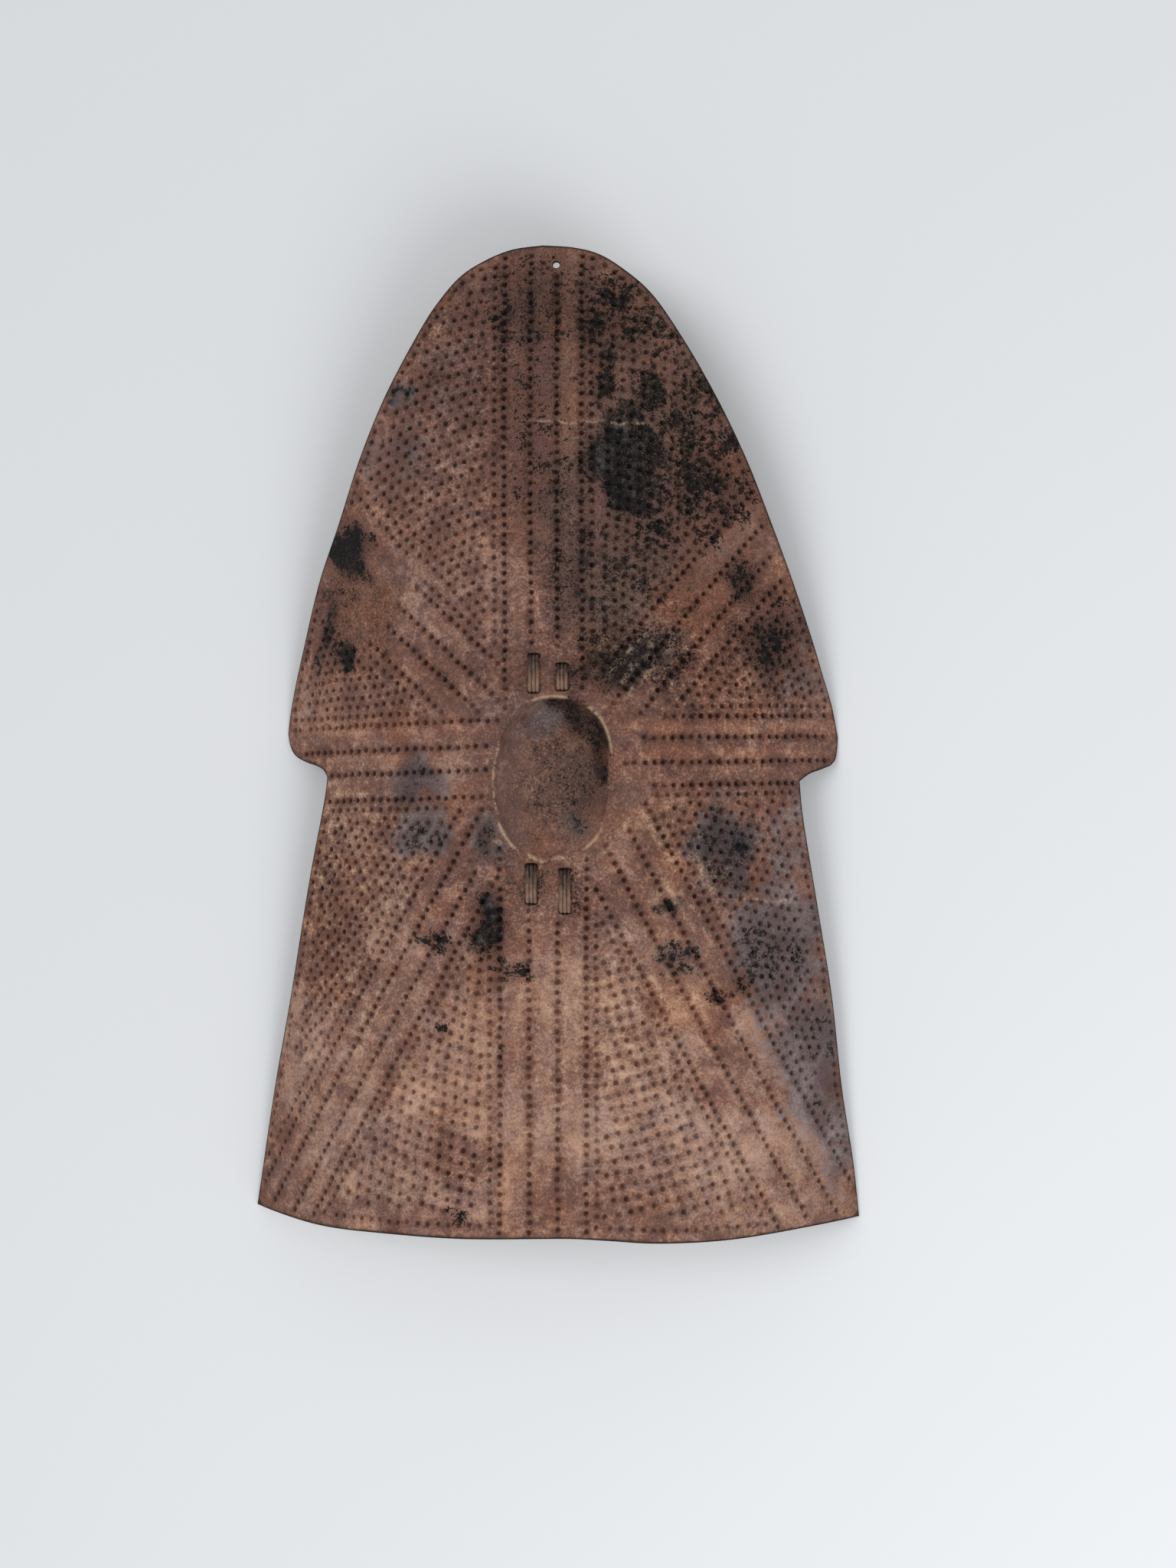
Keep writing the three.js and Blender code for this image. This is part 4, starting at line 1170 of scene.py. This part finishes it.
class Surface(Nodes):
    """A material's tree, with the textures and mixes that the finishes are made of."""

    MIX_FACTOR, MIX_A, MIX_B, MIX_COLOUR = 0, 6, 7, 2

    def __init__(self, material):
        material.use_nodes = True
        super().__init__(material.node_tree)
        self.tree.nodes.clear()
        self.place = self.add("ShaderNodeTexCoord", output="Object")

    def attribute(self, name):
        return self.add("ShaderNodeAttribute", {"attribute_name": name}, output="Fac")

    def noise(self, size, detail=3.0, rough=0.55, shift=(0, 0, 0), twist=0.0, stretch=(1, 1, 1)):
        """Noise whose features are about size metres across."""
        where = self.add("ShaderNodeMapping", {}, {"Vector": self.place, "Location": shift, "Scale": stretch})
        return self.add("ShaderNodeTexNoise", {"normalize": True},
                        {"Vector": where, "Scale": 1.0 / size, "Detail": detail, "Roughness": rough,
                         "Distortion": twist}, output="Fac")

    def blend(self, factor, a, b, kind="MIX"):
        return self.add("ShaderNodeMix", {"data_type": "RGBA", "blend_type": kind},
                        {self.MIX_FACTOR: factor, self.MIX_A: a, self.MIX_B: b}, output=self.MIX_COLOUR)

    def scale_colours(self, value, colours):
        """A colour ramp through evenly spaced colours."""
        stops = [(i / (len(colours) - 1), tuple(colour)) for i, colour in enumerate(colours)]
        return self.add("ShaderNodeValToRGB", {"stops": stops}, {"Fac": value}, output="Color")

    def finish(self, colour, roughness, height, bump, **constants):
        """The shader and its output. Height is in metres."""
        normal = self.add("ShaderNodeBump", {}, {"Strength": bump, "Distance": 1.0, "Height": height})
        shader = self.add("ShaderNodeBsdfPrincipled", {},
                          {"Base Color": colour, "Roughness": roughness, "Normal": normal, **constants})
        self.add("ShaderNodeOutputMaterial", {}, {"Surface": shader})


def tone(red, green, blue):
    """A colour given in screen values from 0 to 255, as linear light."""
    def linear(value):
        share = value / 255
        return share / 12.92 if share <= 0.04045 else ((share + 0.055) / 1.055) ** 2.4
    return (linear(red), linear(green), linear(blue), 1.0)


def length(name, description, value, low, high):
    """A length property in metres."""
    return bpy.props.FloatProperty(name=name, description=description, default=value, min=low, max=high,
                                   subtype="DISTANCE", unit="LENGTH")


def colour(name, description, value):
    """A colour property in linear light."""
    return bpy.props.FloatVectorProperty(name=name, description=description, default=value, size=4,
                                         subtype="COLOR", min=0.0, max=1.0)


class ShieldSizes(bpy.types.PropertyGroup):
    """Sizes of the tooling and of the lacing."""

    mark_depth: length("Mark depth", "How deep a full punch mark goes into the front", 0.0021, 0.0, 0.003)
    mark_radius: length(
        "Mark radius", "From a mark's middle to where its wall meets the face", 0.0029, 0.001, 0.005)
    buckle: length("Buckle", "How far the dried hide stands off its true arch", 0.001, 0.0, 0.003)
    thong_width: length("Thong width", "Width of one of the three thongs of a lace", 0.0038, 0.001, 0.006)
    thong_thickness: length("Thong thickness", "Thickness of one thong", 0.0034, 0.001, 0.0045)
    seed: bpy.props.IntProperty(
        name="Seed", description="Sets where the hand wandered", default=7, min=0, max=999)


class ShieldColours(bpy.types.PropertyGroup):
    """Colours of the hide and of the laces."""

    warm_dark: colour("Warm dark", "Ochre skin where it is darkest", tone(17, 9, 6))
    warm_middle: colour("Warm middle", "Ochre skin", tone(132, 88, 70))
    warm_light: colour("Warm light", "Ochre skin where it is palest", tone(214, 170, 140))
    cool_dark: colour("Cool dark", "Purple grey skin where it is darkest", tone(17, 12, 12))
    cool_middle: colour("Cool middle", "Purple grey skin", tone(112, 83, 75))
    cool_light: colour("Cool light", "Purple grey skin where it is palest", tone(198, 166, 150))
    stain: colour("Black stain", "Blue-black spots", tone(9, 8, 10))
    smudge: colour("Grey smudge", "Blue-grey bloom on the skin", tone(94, 84, 86))
    bloom: colour("Pale smudge", "Blue-grey bloom where it is palest", tone(156, 145, 146))
    # Multiplied into the middle of each punch mark: dirt there, and painted shade in the mark's hollow.
    pit_dirt_and_shade: colour("Dirt", "What the dirt in a punch mark leaves of the skin's colour", (0.2, 0.14, 0.12, 1.0))
    cut_edge: colour("Cut edge", "The dark edge of the hide", tone(30, 20, 17))
    # Also the colour of the painted highlight along the welt round the boss.
    rubbed: colour("Rubbed", "The worn line round the boss and bare hair roots", tone(202, 170, 140))
    flesh: colour("Flesh side", "The scraped back of the hide", tone(128, 100, 78))
    # Dirt on the laces, and painted shade where they come out of their slits.
    lace_dirt_and_shade: colour("Dark lace", "The laces where they are dirty", tone(52, 40, 36))
    lace_light: colour("Light lace", "The laces where they are rubbed", tone(142, 112, 94))


def hide_material(colours):
    """Worn hide: mottled skin, stains, dirt and painted shade in the marks, painted light on the relief and a
    cut dark edge.
    """
    material = bpy.data.materials.new("worn_hide")
    s = Surface(material)
    pit, ridge, press = (s.attribute(n) for n in ("pit", "ridge", "press"))
    front, edge, welt, boss, flute, crease = (
        s.attribute(n) for n in ("front", "edge", "welt", "boss", "flute", "crease"))
    lightness, warmth, stain, smudge, stubble, rub = (
        s.attribute(n) for n in ("lightness", "warmth", "stain", "smudge", "stubble", "rub"))

    broad = s.noise(0.11, 4.0, 0.6)
    cloud = s.noise(0.04, 5.0, 0.65, (3, 1, 0), 0.5)
    tinge = s.noise(0.03, 5.0, 0.65, (8, 4, 2), 0.6)
    blotch = s.noise(0.016, 5.0, 0.7, (0, 5, 0), 0.8)
    fleck = s.noise(0.0062, 4.0, 0.75, (7, 0, 0), 0.5)
    grain = s.noise(0.0027, 3.0, 0.8, (0, 9, 0))
    root = s.noise(0.0058, 3.0, 0.6, (2, 2, 0), 1.6)

    rough_skin = 0.85 + (lightness * -5.0).most(0.0)
    value = 0.5 + lightness + (broad - 0.5) * 0.45 + (cloud - 0.5) * 0.62
    value = value + ((blotch - 0.5) * 0.6 + (fleck - 0.5) * 0.42 + (grain - 0.5) * 0.85) * rough_skin
    # Painted light on the relief: the raised rim round each mark and the crests of the flutes are lighter,
    # the grooves darker.
    value = value + ridge * 0.1 + flute * 0.05
    warm = 0.4 + warmth + (tinge - 0.5) * 2.0 + (blotch - 0.5) * 1.2
    cool_skin = s.scale_colours(value, (colours.cool_dark, colours.cool_middle, colours.cool_light))
    warm_skin = s.scale_colours(value, (colours.warm_dark, colours.warm_middle, colours.warm_light))
    grey_skin = s.scale_colours(value, (colours.stain, colours.smudge, colours.bloom))
    skin = s.blend(warm.clamp(), cool_skin, warm_skin)

    speck = (blotch - 0.5) * 0.42 + (fleck - 0.5) * 0.36 + (grain - 0.5) * 0.4
    bloomed = (smudge + speck * 3.0 + (cloud - 0.5) * 1.6).ramp(0.3, 0.75) * smudge.ramp(0.0, 0.3)
    skin = s.blend(bloomed * 0.8, skin, grey_skin)
    spotted = (stain + speck * 4.6 + (cloud - 0.5) * 1.4).ramp(0.42, 0.68) * stain.ramp(0.02, 0.25)
    skin = s.blend(spotted, skin, s.blend(warmth.ramp(0.0, 0.3), colours.stain, colours.warm_dark))
    # Painted highlight: a blue-grey sheen on the raised rims of the marks inside the black stains.
    skin = s.blend(ridge * spotted * bloomed * 0.5, skin, colours.smudge)

    hair = abs(root - 0.5).ramp(0.035, 0.0) * grain.ramp(0.35, 0.6)
    skin = s.blend(hair * (stubble * 0.5 + 0.06), skin, colours.rubbed)
    # The welt and the mark rims go pale where worn, with a painted highlight on the raised welt.
    bared_and_highlight = (rub + speck * 4.0).ramp(0.2, 0.9) * rub.ramp(0.0, 0.3) * (welt * 0.85 + ridge * 0.7).clamp()
    bared_and_highlight = bared_and_highlight.most(crease * (speck * 5.0 + 0.3).clamp())
    skin = s.blend(bared_and_highlight, skin, colours.rubbed)
    # Dirt and painted shade in the hollow of each punch mark, deepest where the mark was pressed hardest.
    packed = (0.35 + press * 0.62).clamp() * lightness.ramp(-0.1, 0.12, 1.0, 0.7)
    skin = s.blend(pit * packed, skin, colours.pit_dirt_and_shade, "MULTIPLY")

    fibres = s.noise(0.004, 4.0, 0.7, (0, 0, 4), 0.0, (1.0, 0.25, 1.0))
    back = s.blend((broad * 0.5 + cloud * 0.5).ramp(0.3, 0.7), colours.flesh, colours.warm_middle)
    back = s.blend(fibres.ramp(0.35, 0.7) * 0.4, back, colours.cool_middle)
    skin = s.blend(front, back, skin)
    skin = s.blend(edge.ramp(0.4, 0.85) * 0.96, skin, colours.cut_edge)

    gloss = 0.66 - spotted * 0.2 - boss * 0.05 + (fleck - 0.5) * 0.3
    height = fleck * 0.0012 + grain * 0.0012 + hair * stubble * 0.0003 + fibres * (1.0 - front) * 0.0004
    shine = spotted * bloomed * ridge * 0.4
    coat = {"Specular IOR Level": 0.12, "Coat Weight": shine, "Coat Roughness": 0.3}
    s.finish(skin, gloss, height, 0.85, **coat)
    return material


def lace_material(colours):
    """Dry laces: dirt and painted shade above, where they come out of their slits, rubbed paler below, with a
    fibrous grain.
    """
    material = bpy.data.materials.new("dry_lace")
    s = Surface(material)
    shade = s.attribute("shade")
    fibre = s.noise(0.0016, 4.0, 0.7, (0, 0, 0), 0.0, (1.0, 0.16, 0.6))
    cloud = s.noise(0.007, 4.0, 0.6)
    dark = (shade + (cloud - 0.5) * 1.4 + (fibre - 0.5) * 0.8).clamp()
    skin = s.blend(dark, colours.lace_light, colours.lace_dirt_and_shade)
    s.finish(skin, 0.7 + (fibre - 0.5) * 0.2, fibre * 0.0007, 0.8, **{"Specular IOR Level": 0.2})
    return material


# Geometry Nodes
class Grower(Nodes):
    """A geometry tree with named inputs, ending in Realize Instances and Set Material."""

    def __init__(self, name, inputs):
        super().__init__(bpy.data.node_groups.new(name, "GeometryNodeTree"))
        self.ids = {}
        self.tree.interface.new_socket("Geometry", in_out="INPUT", socket_type="NodeSocketGeometry")
        self.tree.interface.new_socket("Geometry", in_out="OUTPUT", socket_type="NodeSocketGeometry")
        for label, kind in inputs.items():
            socket = self.tree.interface.new_socket(label, in_out="INPUT", socket_type="NodeSocket" + kind)
            self.ids[label] = socket.identifier
        self.source = self.add("NodeGroupInput")

    def attribute(self, name):
        return self.add("GeometryNodeInputNamedAttribute", {"data_type": "FLOAT"}, {"Name": name},
                        output="Attribute")

    def input(self, label):
        return self.other(self.source, label)

    def end(self, geometry):
        real = self.add("GeometryNodeRealizeInstances", {}, {"Geometry": geometry})
        done = self.add("GeometryNodeSetMaterial", {}, {"Geometry": real, "Material": self.input("Material")})
        self.add("NodeGroupOutput", {}, {"Geometry": done})

    def run(self, piece, values):
        """Runs the tree on a piece and leaves the result in it as a plain mesh."""
        modifier = piece.modifiers.new(self.tree.name, "NODES")
        modifier.node_group = self.tree
        for label, value in values.items():
            modifier[self.ids[label]] = value
        ready = piece.evaluated_get(bpy.context.evaluated_depsgraph_get())
        mesh = bpy.data.meshes.new_from_object(ready)
        piece.modifiers.remove(modifier)
        piece.data = mesh
        if not len(mesh.polygons):
            raise RuntimeError(f"{piece.name} came out empty")
        mesh.polygons.foreach_set("use_smooth", np.ones(len(mesh.polygons), dtype=bool))
        return mesh


# Height of a mark over its depth, from its middle at 0 to where its rim meets the sheet at 1
MARK_PROFILE = [(0.0, -1.0), (0.12, -0.9), (0.23, -0.36), (0.31, 0.08), (0.4, 0.28), (0.56, 0.2), (1.0, 0.0)]
MARK_SPAN = 3.9
MARK_SIZES = (0.85, 1.12)
PIT_RAMP = (0.35, 0.12)
RIDGE_RISE = (0.3, 0.46)
RIDGE_FALL = (0.98, 0.7)
BUCKLE_WAVES = 11.0
BUCKLE_FROM = 0.02
THONG_SHIFTS = (3.7, 1.3)
THONG_WAVES = 60.0


def punch_tree():
    """Presses a mark into the front at each point of another object, and lets the hide buckle."""
    g = Grower("punched_marks", {
        "Marks": "Object", "Depth": "Float", "Radius": "Float", "Buckle": "Float", "Seed": "Int",
        "Material": "Material",
    })
    marks = g.add("GeometryNodeObjectInfo", {"transform_space": "ORIGINAL"}, {"Object": g.input("Marks")},
                  output="Geometry")
    near = g.add("GeometryNodeProximity", {"target_element": "POINTS"}, {0: marks}, output="Distance")
    index = g.add("GeometryNodeSampleNearest", {"domain": "POINT"}, {"Geometry": marks}, output="Index")
    press = g.attribute("press")
    press = g.add("GeometryNodeSampleIndex", {"data_type": "FLOAT", "domain": "POINT"},
                  {"Geometry": marks, "Value": press, "Index": index})
    spread = g.add("FunctionNodeRandomValue", {"data_type": "FLOAT"},
                   {2: MARK_SIZES[0], 3: MARK_SIZES[1], "ID": index, "Seed": g.input("Seed")}, output=1)
    sheet = g.attribute("sheet")
    share = (near / (g.input("Radius") * spread * MARK_SPAN)).clamp()
    profile = g.add("ShaderNodeFloatCurve", {"curve": MARK_PROFILE}, {"Value": share})
    normal = g.add("GeometryNodeInputNormal", output="Normal")
    push = g.vector("SCALE", normal, profile * press * g.input("Depth") * sheet)
    place = g.add("GeometryNodeInputPosition")
    height = g.other(g.add("ShaderNodeSeparateXYZ", {}, {"Vector": place}), "Z")
    wave = g.add("ShaderNodeTexNoise", {},
                 {"Vector": place, "Scale": BUCKLE_WAVES, "Detail": 2.0, "Roughness": 0.5}, output=0)
    wave = (wave - 0.5) * 2.0 * g.input("Buckle") * (height / BUCKLE_FROM).clamp()
    rise = g.add("ShaderNodeCombineXYZ", {}, {"Z": wave})
    push = g.vector("ADD", push, rise)
    # Where a mark's hollow gets its dirt and painted shade.
    pit_dirt_and_shade = share.ramp(*PIT_RAMP) * sheet
    ridge = share.ramp(*RIDGE_RISE) * share.ramp(*RIDGE_FALL) * sheet
    out = g.source
    for name, value in (("pit", pit_dirt_and_shade), ("ridge", ridge), ("press", press)):
        out = g.add("GeometryNodeStoreNamedAttribute", {"data_type": "FLOAT", "domain": "POINT"},
                    {"Geometry": out, "Name": name, "Value": value})
    g.end(g.add("GeometryNodeSetPosition", {}, {"Geometry": out, "Offset": push}))
    return g


def thong_tree():
    """Lays several thongs side by side along a path, each a little off its line."""
    g = Grower("laid_thongs", {
        "Thongs": "Int", "Pitch": "Float", "Width": "Float", "Thickness": "Float", "Wander": "Float",
        "Seed": "Int", "Material": "Material",
    })
    path = g.add("GeometryNodeMeshToCurve", {}, {"Mesh": g.source})
    lines = g.add("GeometryNodeDuplicateElements", {"domain": "SPLINE"},
                  {"Geometry": path, "Amount": g.input("Thongs")})
    order = g.other(lines, "Duplicate Index")
    aside = (order - (g.input("Thongs") - 1.0) / 2.0) * g.input("Pitch")
    place = g.add("GeometryNodeInputPosition")
    seeded = g.add("ShaderNodeCombineXYZ", {},
                   {"X": order * THONG_SHIFTS[0] + g.input("Seed"), "Y": order * THONG_SHIFTS[1]})
    where = g.vector("ADD", place, seeded)
    wander = g.add("ShaderNodeTexNoise", {},
                   {"Vector": where, "Scale": THONG_WAVES, "Detail": 1.0}, output="Color")
    wander = g.vector("SUBTRACT", wander, (0.5, 0.5, 0.5))
    wander = g.vector("SCALE", wander, g.input("Wander"))
    offset = g.add("ShaderNodeCombineXYZ", {}, {"X": aside})
    offset = g.vector("ADD", offset, wander)
    lines = g.add("GeometryNodeSetPosition", {}, {"Geometry": lines, "Offset": offset})
    lines = g.add("GeometryNodeSetCurveNormal", {"mode": "FREE"}, {"Curve": lines, "Normal": (1.0, 0.0, 0.0)})
    ring = g.add("GeometryNodeCurvePrimitiveCircle", {"mode": "RADIUS"}, {"Resolution": 12, "Radius": 0.5})
    size = g.add("ShaderNodeCombineXYZ", {}, {"X": g.input("Width"), "Y": g.input("Thickness"), "Z": 1.0})
    ring = g.add("GeometryNodeTransform", {}, {"Geometry": ring, "Scale": size})
    g.end(g.add("GeometryNodeCurveToMesh", {}, {"Curve": lines, "Profile Curve": ring, "Fill Caps": True}))
    return g


def new_piece(name, mesh):
    piece = bpy.data.objects.new(name, mesh)
    bpy.context.scene.collection.objects.link(piece)
    return piece


def drop_piece(piece):
    bpy.data.objects.remove(piece, do_unlink=True)


class SHIELD_OT_hide(bpy.types.Operator):
    """Builds the hide with its boss and its punched pattern"""

    bl_idname = "shield.hide"
    bl_label = "Punched hide"

    def execute(self, context):
        sizes = context.scene.shield_sizes
        places, press = all_marks(sizes.seed)
        points = bpy.data.meshes.new("mark_points")
        height = band_relief(places) + arc_relief(places)
        points.from_pydata(to_frame(on_sheet(places, height)).tolist(), [], [])
        store(points, "press", press)
        marks = new_piece("mark_points", points)
        piece = new_piece("embossed_hide", hide_mesh(places))
        material = hide_material(context.scene.shield_colours)
        mesh = punch_tree().run(piece, {
            "Marks": marks, "Depth": sizes.mark_depth, "Radius": sizes.mark_radius, "Buckle": sizes.buckle,
            "Seed": sizes.seed, "Material": material,
        })
        drop_piece(marks)
        print("marks", len(places), "triangles", sum(len(p.vertices) - 2 for p in mesh.polygons))
        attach(piece, "root")
        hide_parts("shield_hide")
        return {"FINISHED"}


def lace_path(grip):
    """The middle line of a lace through its four slits: y, height over the front, and painted shade."""
    sa, sb, sc, sd = slit_places(grip)
    behind = -HIDE_THICKNESS - REACH
    stops = [(sa, -HIDE_THICKNESS - 0.5 * KNOT_DROP, 1.0)]

    def bend(centre_y, centre_h, start, end, shade):
        for i in range(BEND_STEPS + 1):
            a = math.radians(mix(start, end, i / BEND_STEPS))
            stops.append((centre_y + REACH * math.cos(a), centre_h + REACH * math.sin(a), shade))

    def straight(y, height, start, end):
        count = max(2, round(abs(y - stops[-1][0]) / 4.0))
        y0 = stops[-1][0]
        stops.extend((mix(y0, y, i / count), height, mix(start, end, i / count)) for i in range(1, count))

    # The painted shade is deepest where each run comes out of its slit and fades to nothing at its lower end.
    bend(sa - REACH, 0, 0, 90, 1.0)
    straight(sb + REACH, REACH, 1.0, 0.0)
    bend(sb + REACH, 0, 90, 180, 0.2)
    bend(sb - REACH, -HIDE_THICKNESS, 0, -90, 0.6)
    straight(sc + REACH, behind, 0.5, 0.5)
    bend(sc + REACH, -HIDE_THICKNESS, -90, -180, 0.6)
    bend(sc - REACH, 0, 0, 90, 1.0)
    straight(sd + REACH, REACH, 1.0, 0.0)
    bend(sd + REACH, 0, 90, 180, 0.3)
    stops.append((sd, -HIDE_THICKNESS - 0.5 * KNOT_DROP, 0.6))
    return np.array(stops)


def path_object(name, places, shade, closed=False):
    mesh = bpy.data.meshes.new(name)
    count = len(places)
    edges = [(i, i + 1) for i in range(count - 1)] + ([(count - 1, 0)] if closed else [])
    mesh.from_pydata(to_frame(places).tolist(), edges, [])
    store(mesh, "shade", shade)
    return new_piece(name, mesh)


def knot_path(grip, y):
    """A trefoil behind a slit, as a closed line."""
    t = np.arange(KNOT_POINTS) * math.tau / KNOT_POINTS
    half_x, half_y, half_z = KNOT_HALVES
    across = float(grip_x(grip, y)) + half_x * (np.sin(t) + 2 * np.sin(2 * t)) / 3
    along = y + half_y * (np.cos(t) - 2 * np.cos(2 * t)) / 3
    middle = -HIDE_THICKNESS - KNOT_DROP * KNOT_MIDDLE
    return lift(np.stack([across, along], axis=1), middle + half_z * np.sin(3 * t))


class SHIELD_OT_laces(bpy.types.Operator):
    """Laces the two grips through their slits and knots them behind"""

    bl_idname = "shield.laces"
    bl_label = "Laced grips"

    def execute(self, context):
        sizes = context.scene.shield_sizes
        material = lace_material(context.scene.shield_colours)
        tree = thong_tree()
        for side, grip in GRIPS.items():
            line = lace_path(grip)
            x = grip_x(grip, line[:, 0])
            plan = np.stack([x, line[:, 0]], axis=1)
            piece = path_object(f"laced_grip_{side}", lift(plan, line[:, 1]), line[:, 2])
            knots = [path_object("knot", knot_path(grip, y), np.full(KNOT_POINTS, 0.6), True)
                     for y in (slit_places(grip)[0], slit_places(grip)[3])]
            common = {"Width": sizes.thong_width, "Thickness": sizes.thong_thickness, "Seed": sizes.seed,
                      "Material": material}
            tree.run(piece, {"Thongs": 3, "Pitch": sizes.thong_width * 1.04, "Wander": 0.0009, **common})
            for knot in knots:
                tree.run(knot, {"Thongs": 1, "Pitch": 0.0, "Wander": 0.0, **common})
            join(piece, knots)
            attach(piece, "root")
            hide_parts(f"grip_lace_{side}")
        return {"FINISHED"}


def join(piece, others):
    """Joins other objects into a piece, in place."""
    bpy.ops.object.select_all(action="DESELECT")
    for other in (piece, *others):
        other.select_set(True)
    bpy.context.view_layer.objects.active = piece
    bpy.ops.object.join()


# Stage
VIEW_DISTANCE = 2350.0
VIEW_TURN = 5.0
VIEW_AIM = (34.4, -48.0)
VIEW_LENS = 48.89
FLOOR_HALF = 6.0


class SHIELD_OT_stage(bpy.types.Operator):
    """Sets the pale floor, the soft lights and the camera"""

    bl_idname = "shield.stage"
    bl_label = "Floor, lights and camera"

    def execute(self, context):
        scene = context.scene
        scene.view_settings.view_transform = "Standard"
        mesh = bpy.data.meshes.new("floor")
        corners = [(x * FLOOR_HALF, y * FLOOR_HALF, 0) for x, y in ((-1, -1), (1, -1), (1, 1), (-1, 1))]
        mesh.from_pydata(corners, [], [(0, 1, 2, 3)])
        material = bpy.data.materials.new("pale_floor")
        s = Surface(material)
        shader = s.add("ShaderNodeBsdfPrincipled", {}, {"Base Color": tone(226, 228, 230), "Roughness": 0.9})
        s.add("ShaderNodeOutputMaterial", {}, {"Surface": shader})
        mesh.materials.append(material)
        floor = new_piece("floor", mesh)

        turn = math.radians(VIEW_TURN)
        aim = to_frame([(*VIEW_AIM, 0.0)])[0]
        away = np.array([math.sin(turn), 0.0, math.cos(turn)]) * VIEW_DISTANCE * MM
        data = bpy.data.cameras.new("photo_camera")
        data.sensor_fit = "VERTICAL"
        data.sensor_height = 36.0
        data.lens = VIEW_LENS
        data.clip_end = 50.0
        camera = new_piece("photo_camera", data)
        camera.location = aim + away
        camera.rotation_euler = (0.0, turn, 0.0)
        scene.camera = camera

        self.lamp("window", "SUN", (-3.2, 1.0, 4.4), 1.0, (1.0, 1.0, 1.0), angle=math.radians(32))
        self.lamp("bounce", "AREA", (1.9, -2.2, 2.6), 56.0, (0.98, 0.99, 1.0), shape="DISK", size=2.6)
        world = bpy.data.worlds.new("soft_room")
        scene.world = world
        world.use_nodes = True
        background = world.node_tree.nodes["Background"]
        background.inputs["Color"].default_value = (0.97, 0.98, 1.0, 1.0)
        background.inputs["Strength"].default_value = 0.53
        return {"FINISHED"}

    def lamp(self, name, kind, place, power, colour, **settings):
        data = bpy.data.lights.new(name, kind)
        data.energy = power
        data.color = colour
        for key, value in settings.items():
            setattr(data, key, value)
        lamp = new_piece(name, data)
        lamp.location = place
        lamp.rotation_euler = Vector(place).to_track_quat("Z", "Y").to_euler()


class SHIELD_PT_panel(bpy.types.Panel):
    """Lists the steps that build the shield"""

    bl_idname = "SHIELD_PT_panel"
    bl_label = "Hide shield"
    bl_space_type = "VIEW_3D"
    bl_region_type = "UI"
    bl_category = "Hide shield"

    def draw(self, context):
        layout = self.layout
        for group in (context.scene.shield_sizes, context.scene.shield_colours):
            for name in group.__annotations__:
                layout.prop(group, name)
        for step in STEPS:
            layout.operator(step.bl_idname)


STEPS = (SHIELD_OT_stage, SHIELD_OT_hide, SHIELD_OT_laces)
CLASSES = (ShieldSizes, ShieldColours, *STEPS, SHIELD_PT_panel)


def register():
    for cls in CLASSES:
        bpy.utils.register_class(cls)
    bpy.types.Scene.shield_sizes = bpy.props.PointerProperty(type=ShieldSizes)
    bpy.types.Scene.shield_colours = bpy.props.PointerProperty(type=ShieldColours)


def unregister():
    del bpy.types.Scene.shield_sizes
    del bpy.types.Scene.shield_colours
    for cls in reversed(CLASSES):
        bpy.utils.unregister_class(cls)


def main():
    register()
    bpy.ops.shield.stage()
    bpy.ops.shield.hide()
    bpy.ops.shield.laces()


if __name__ == "__main__":
    main()
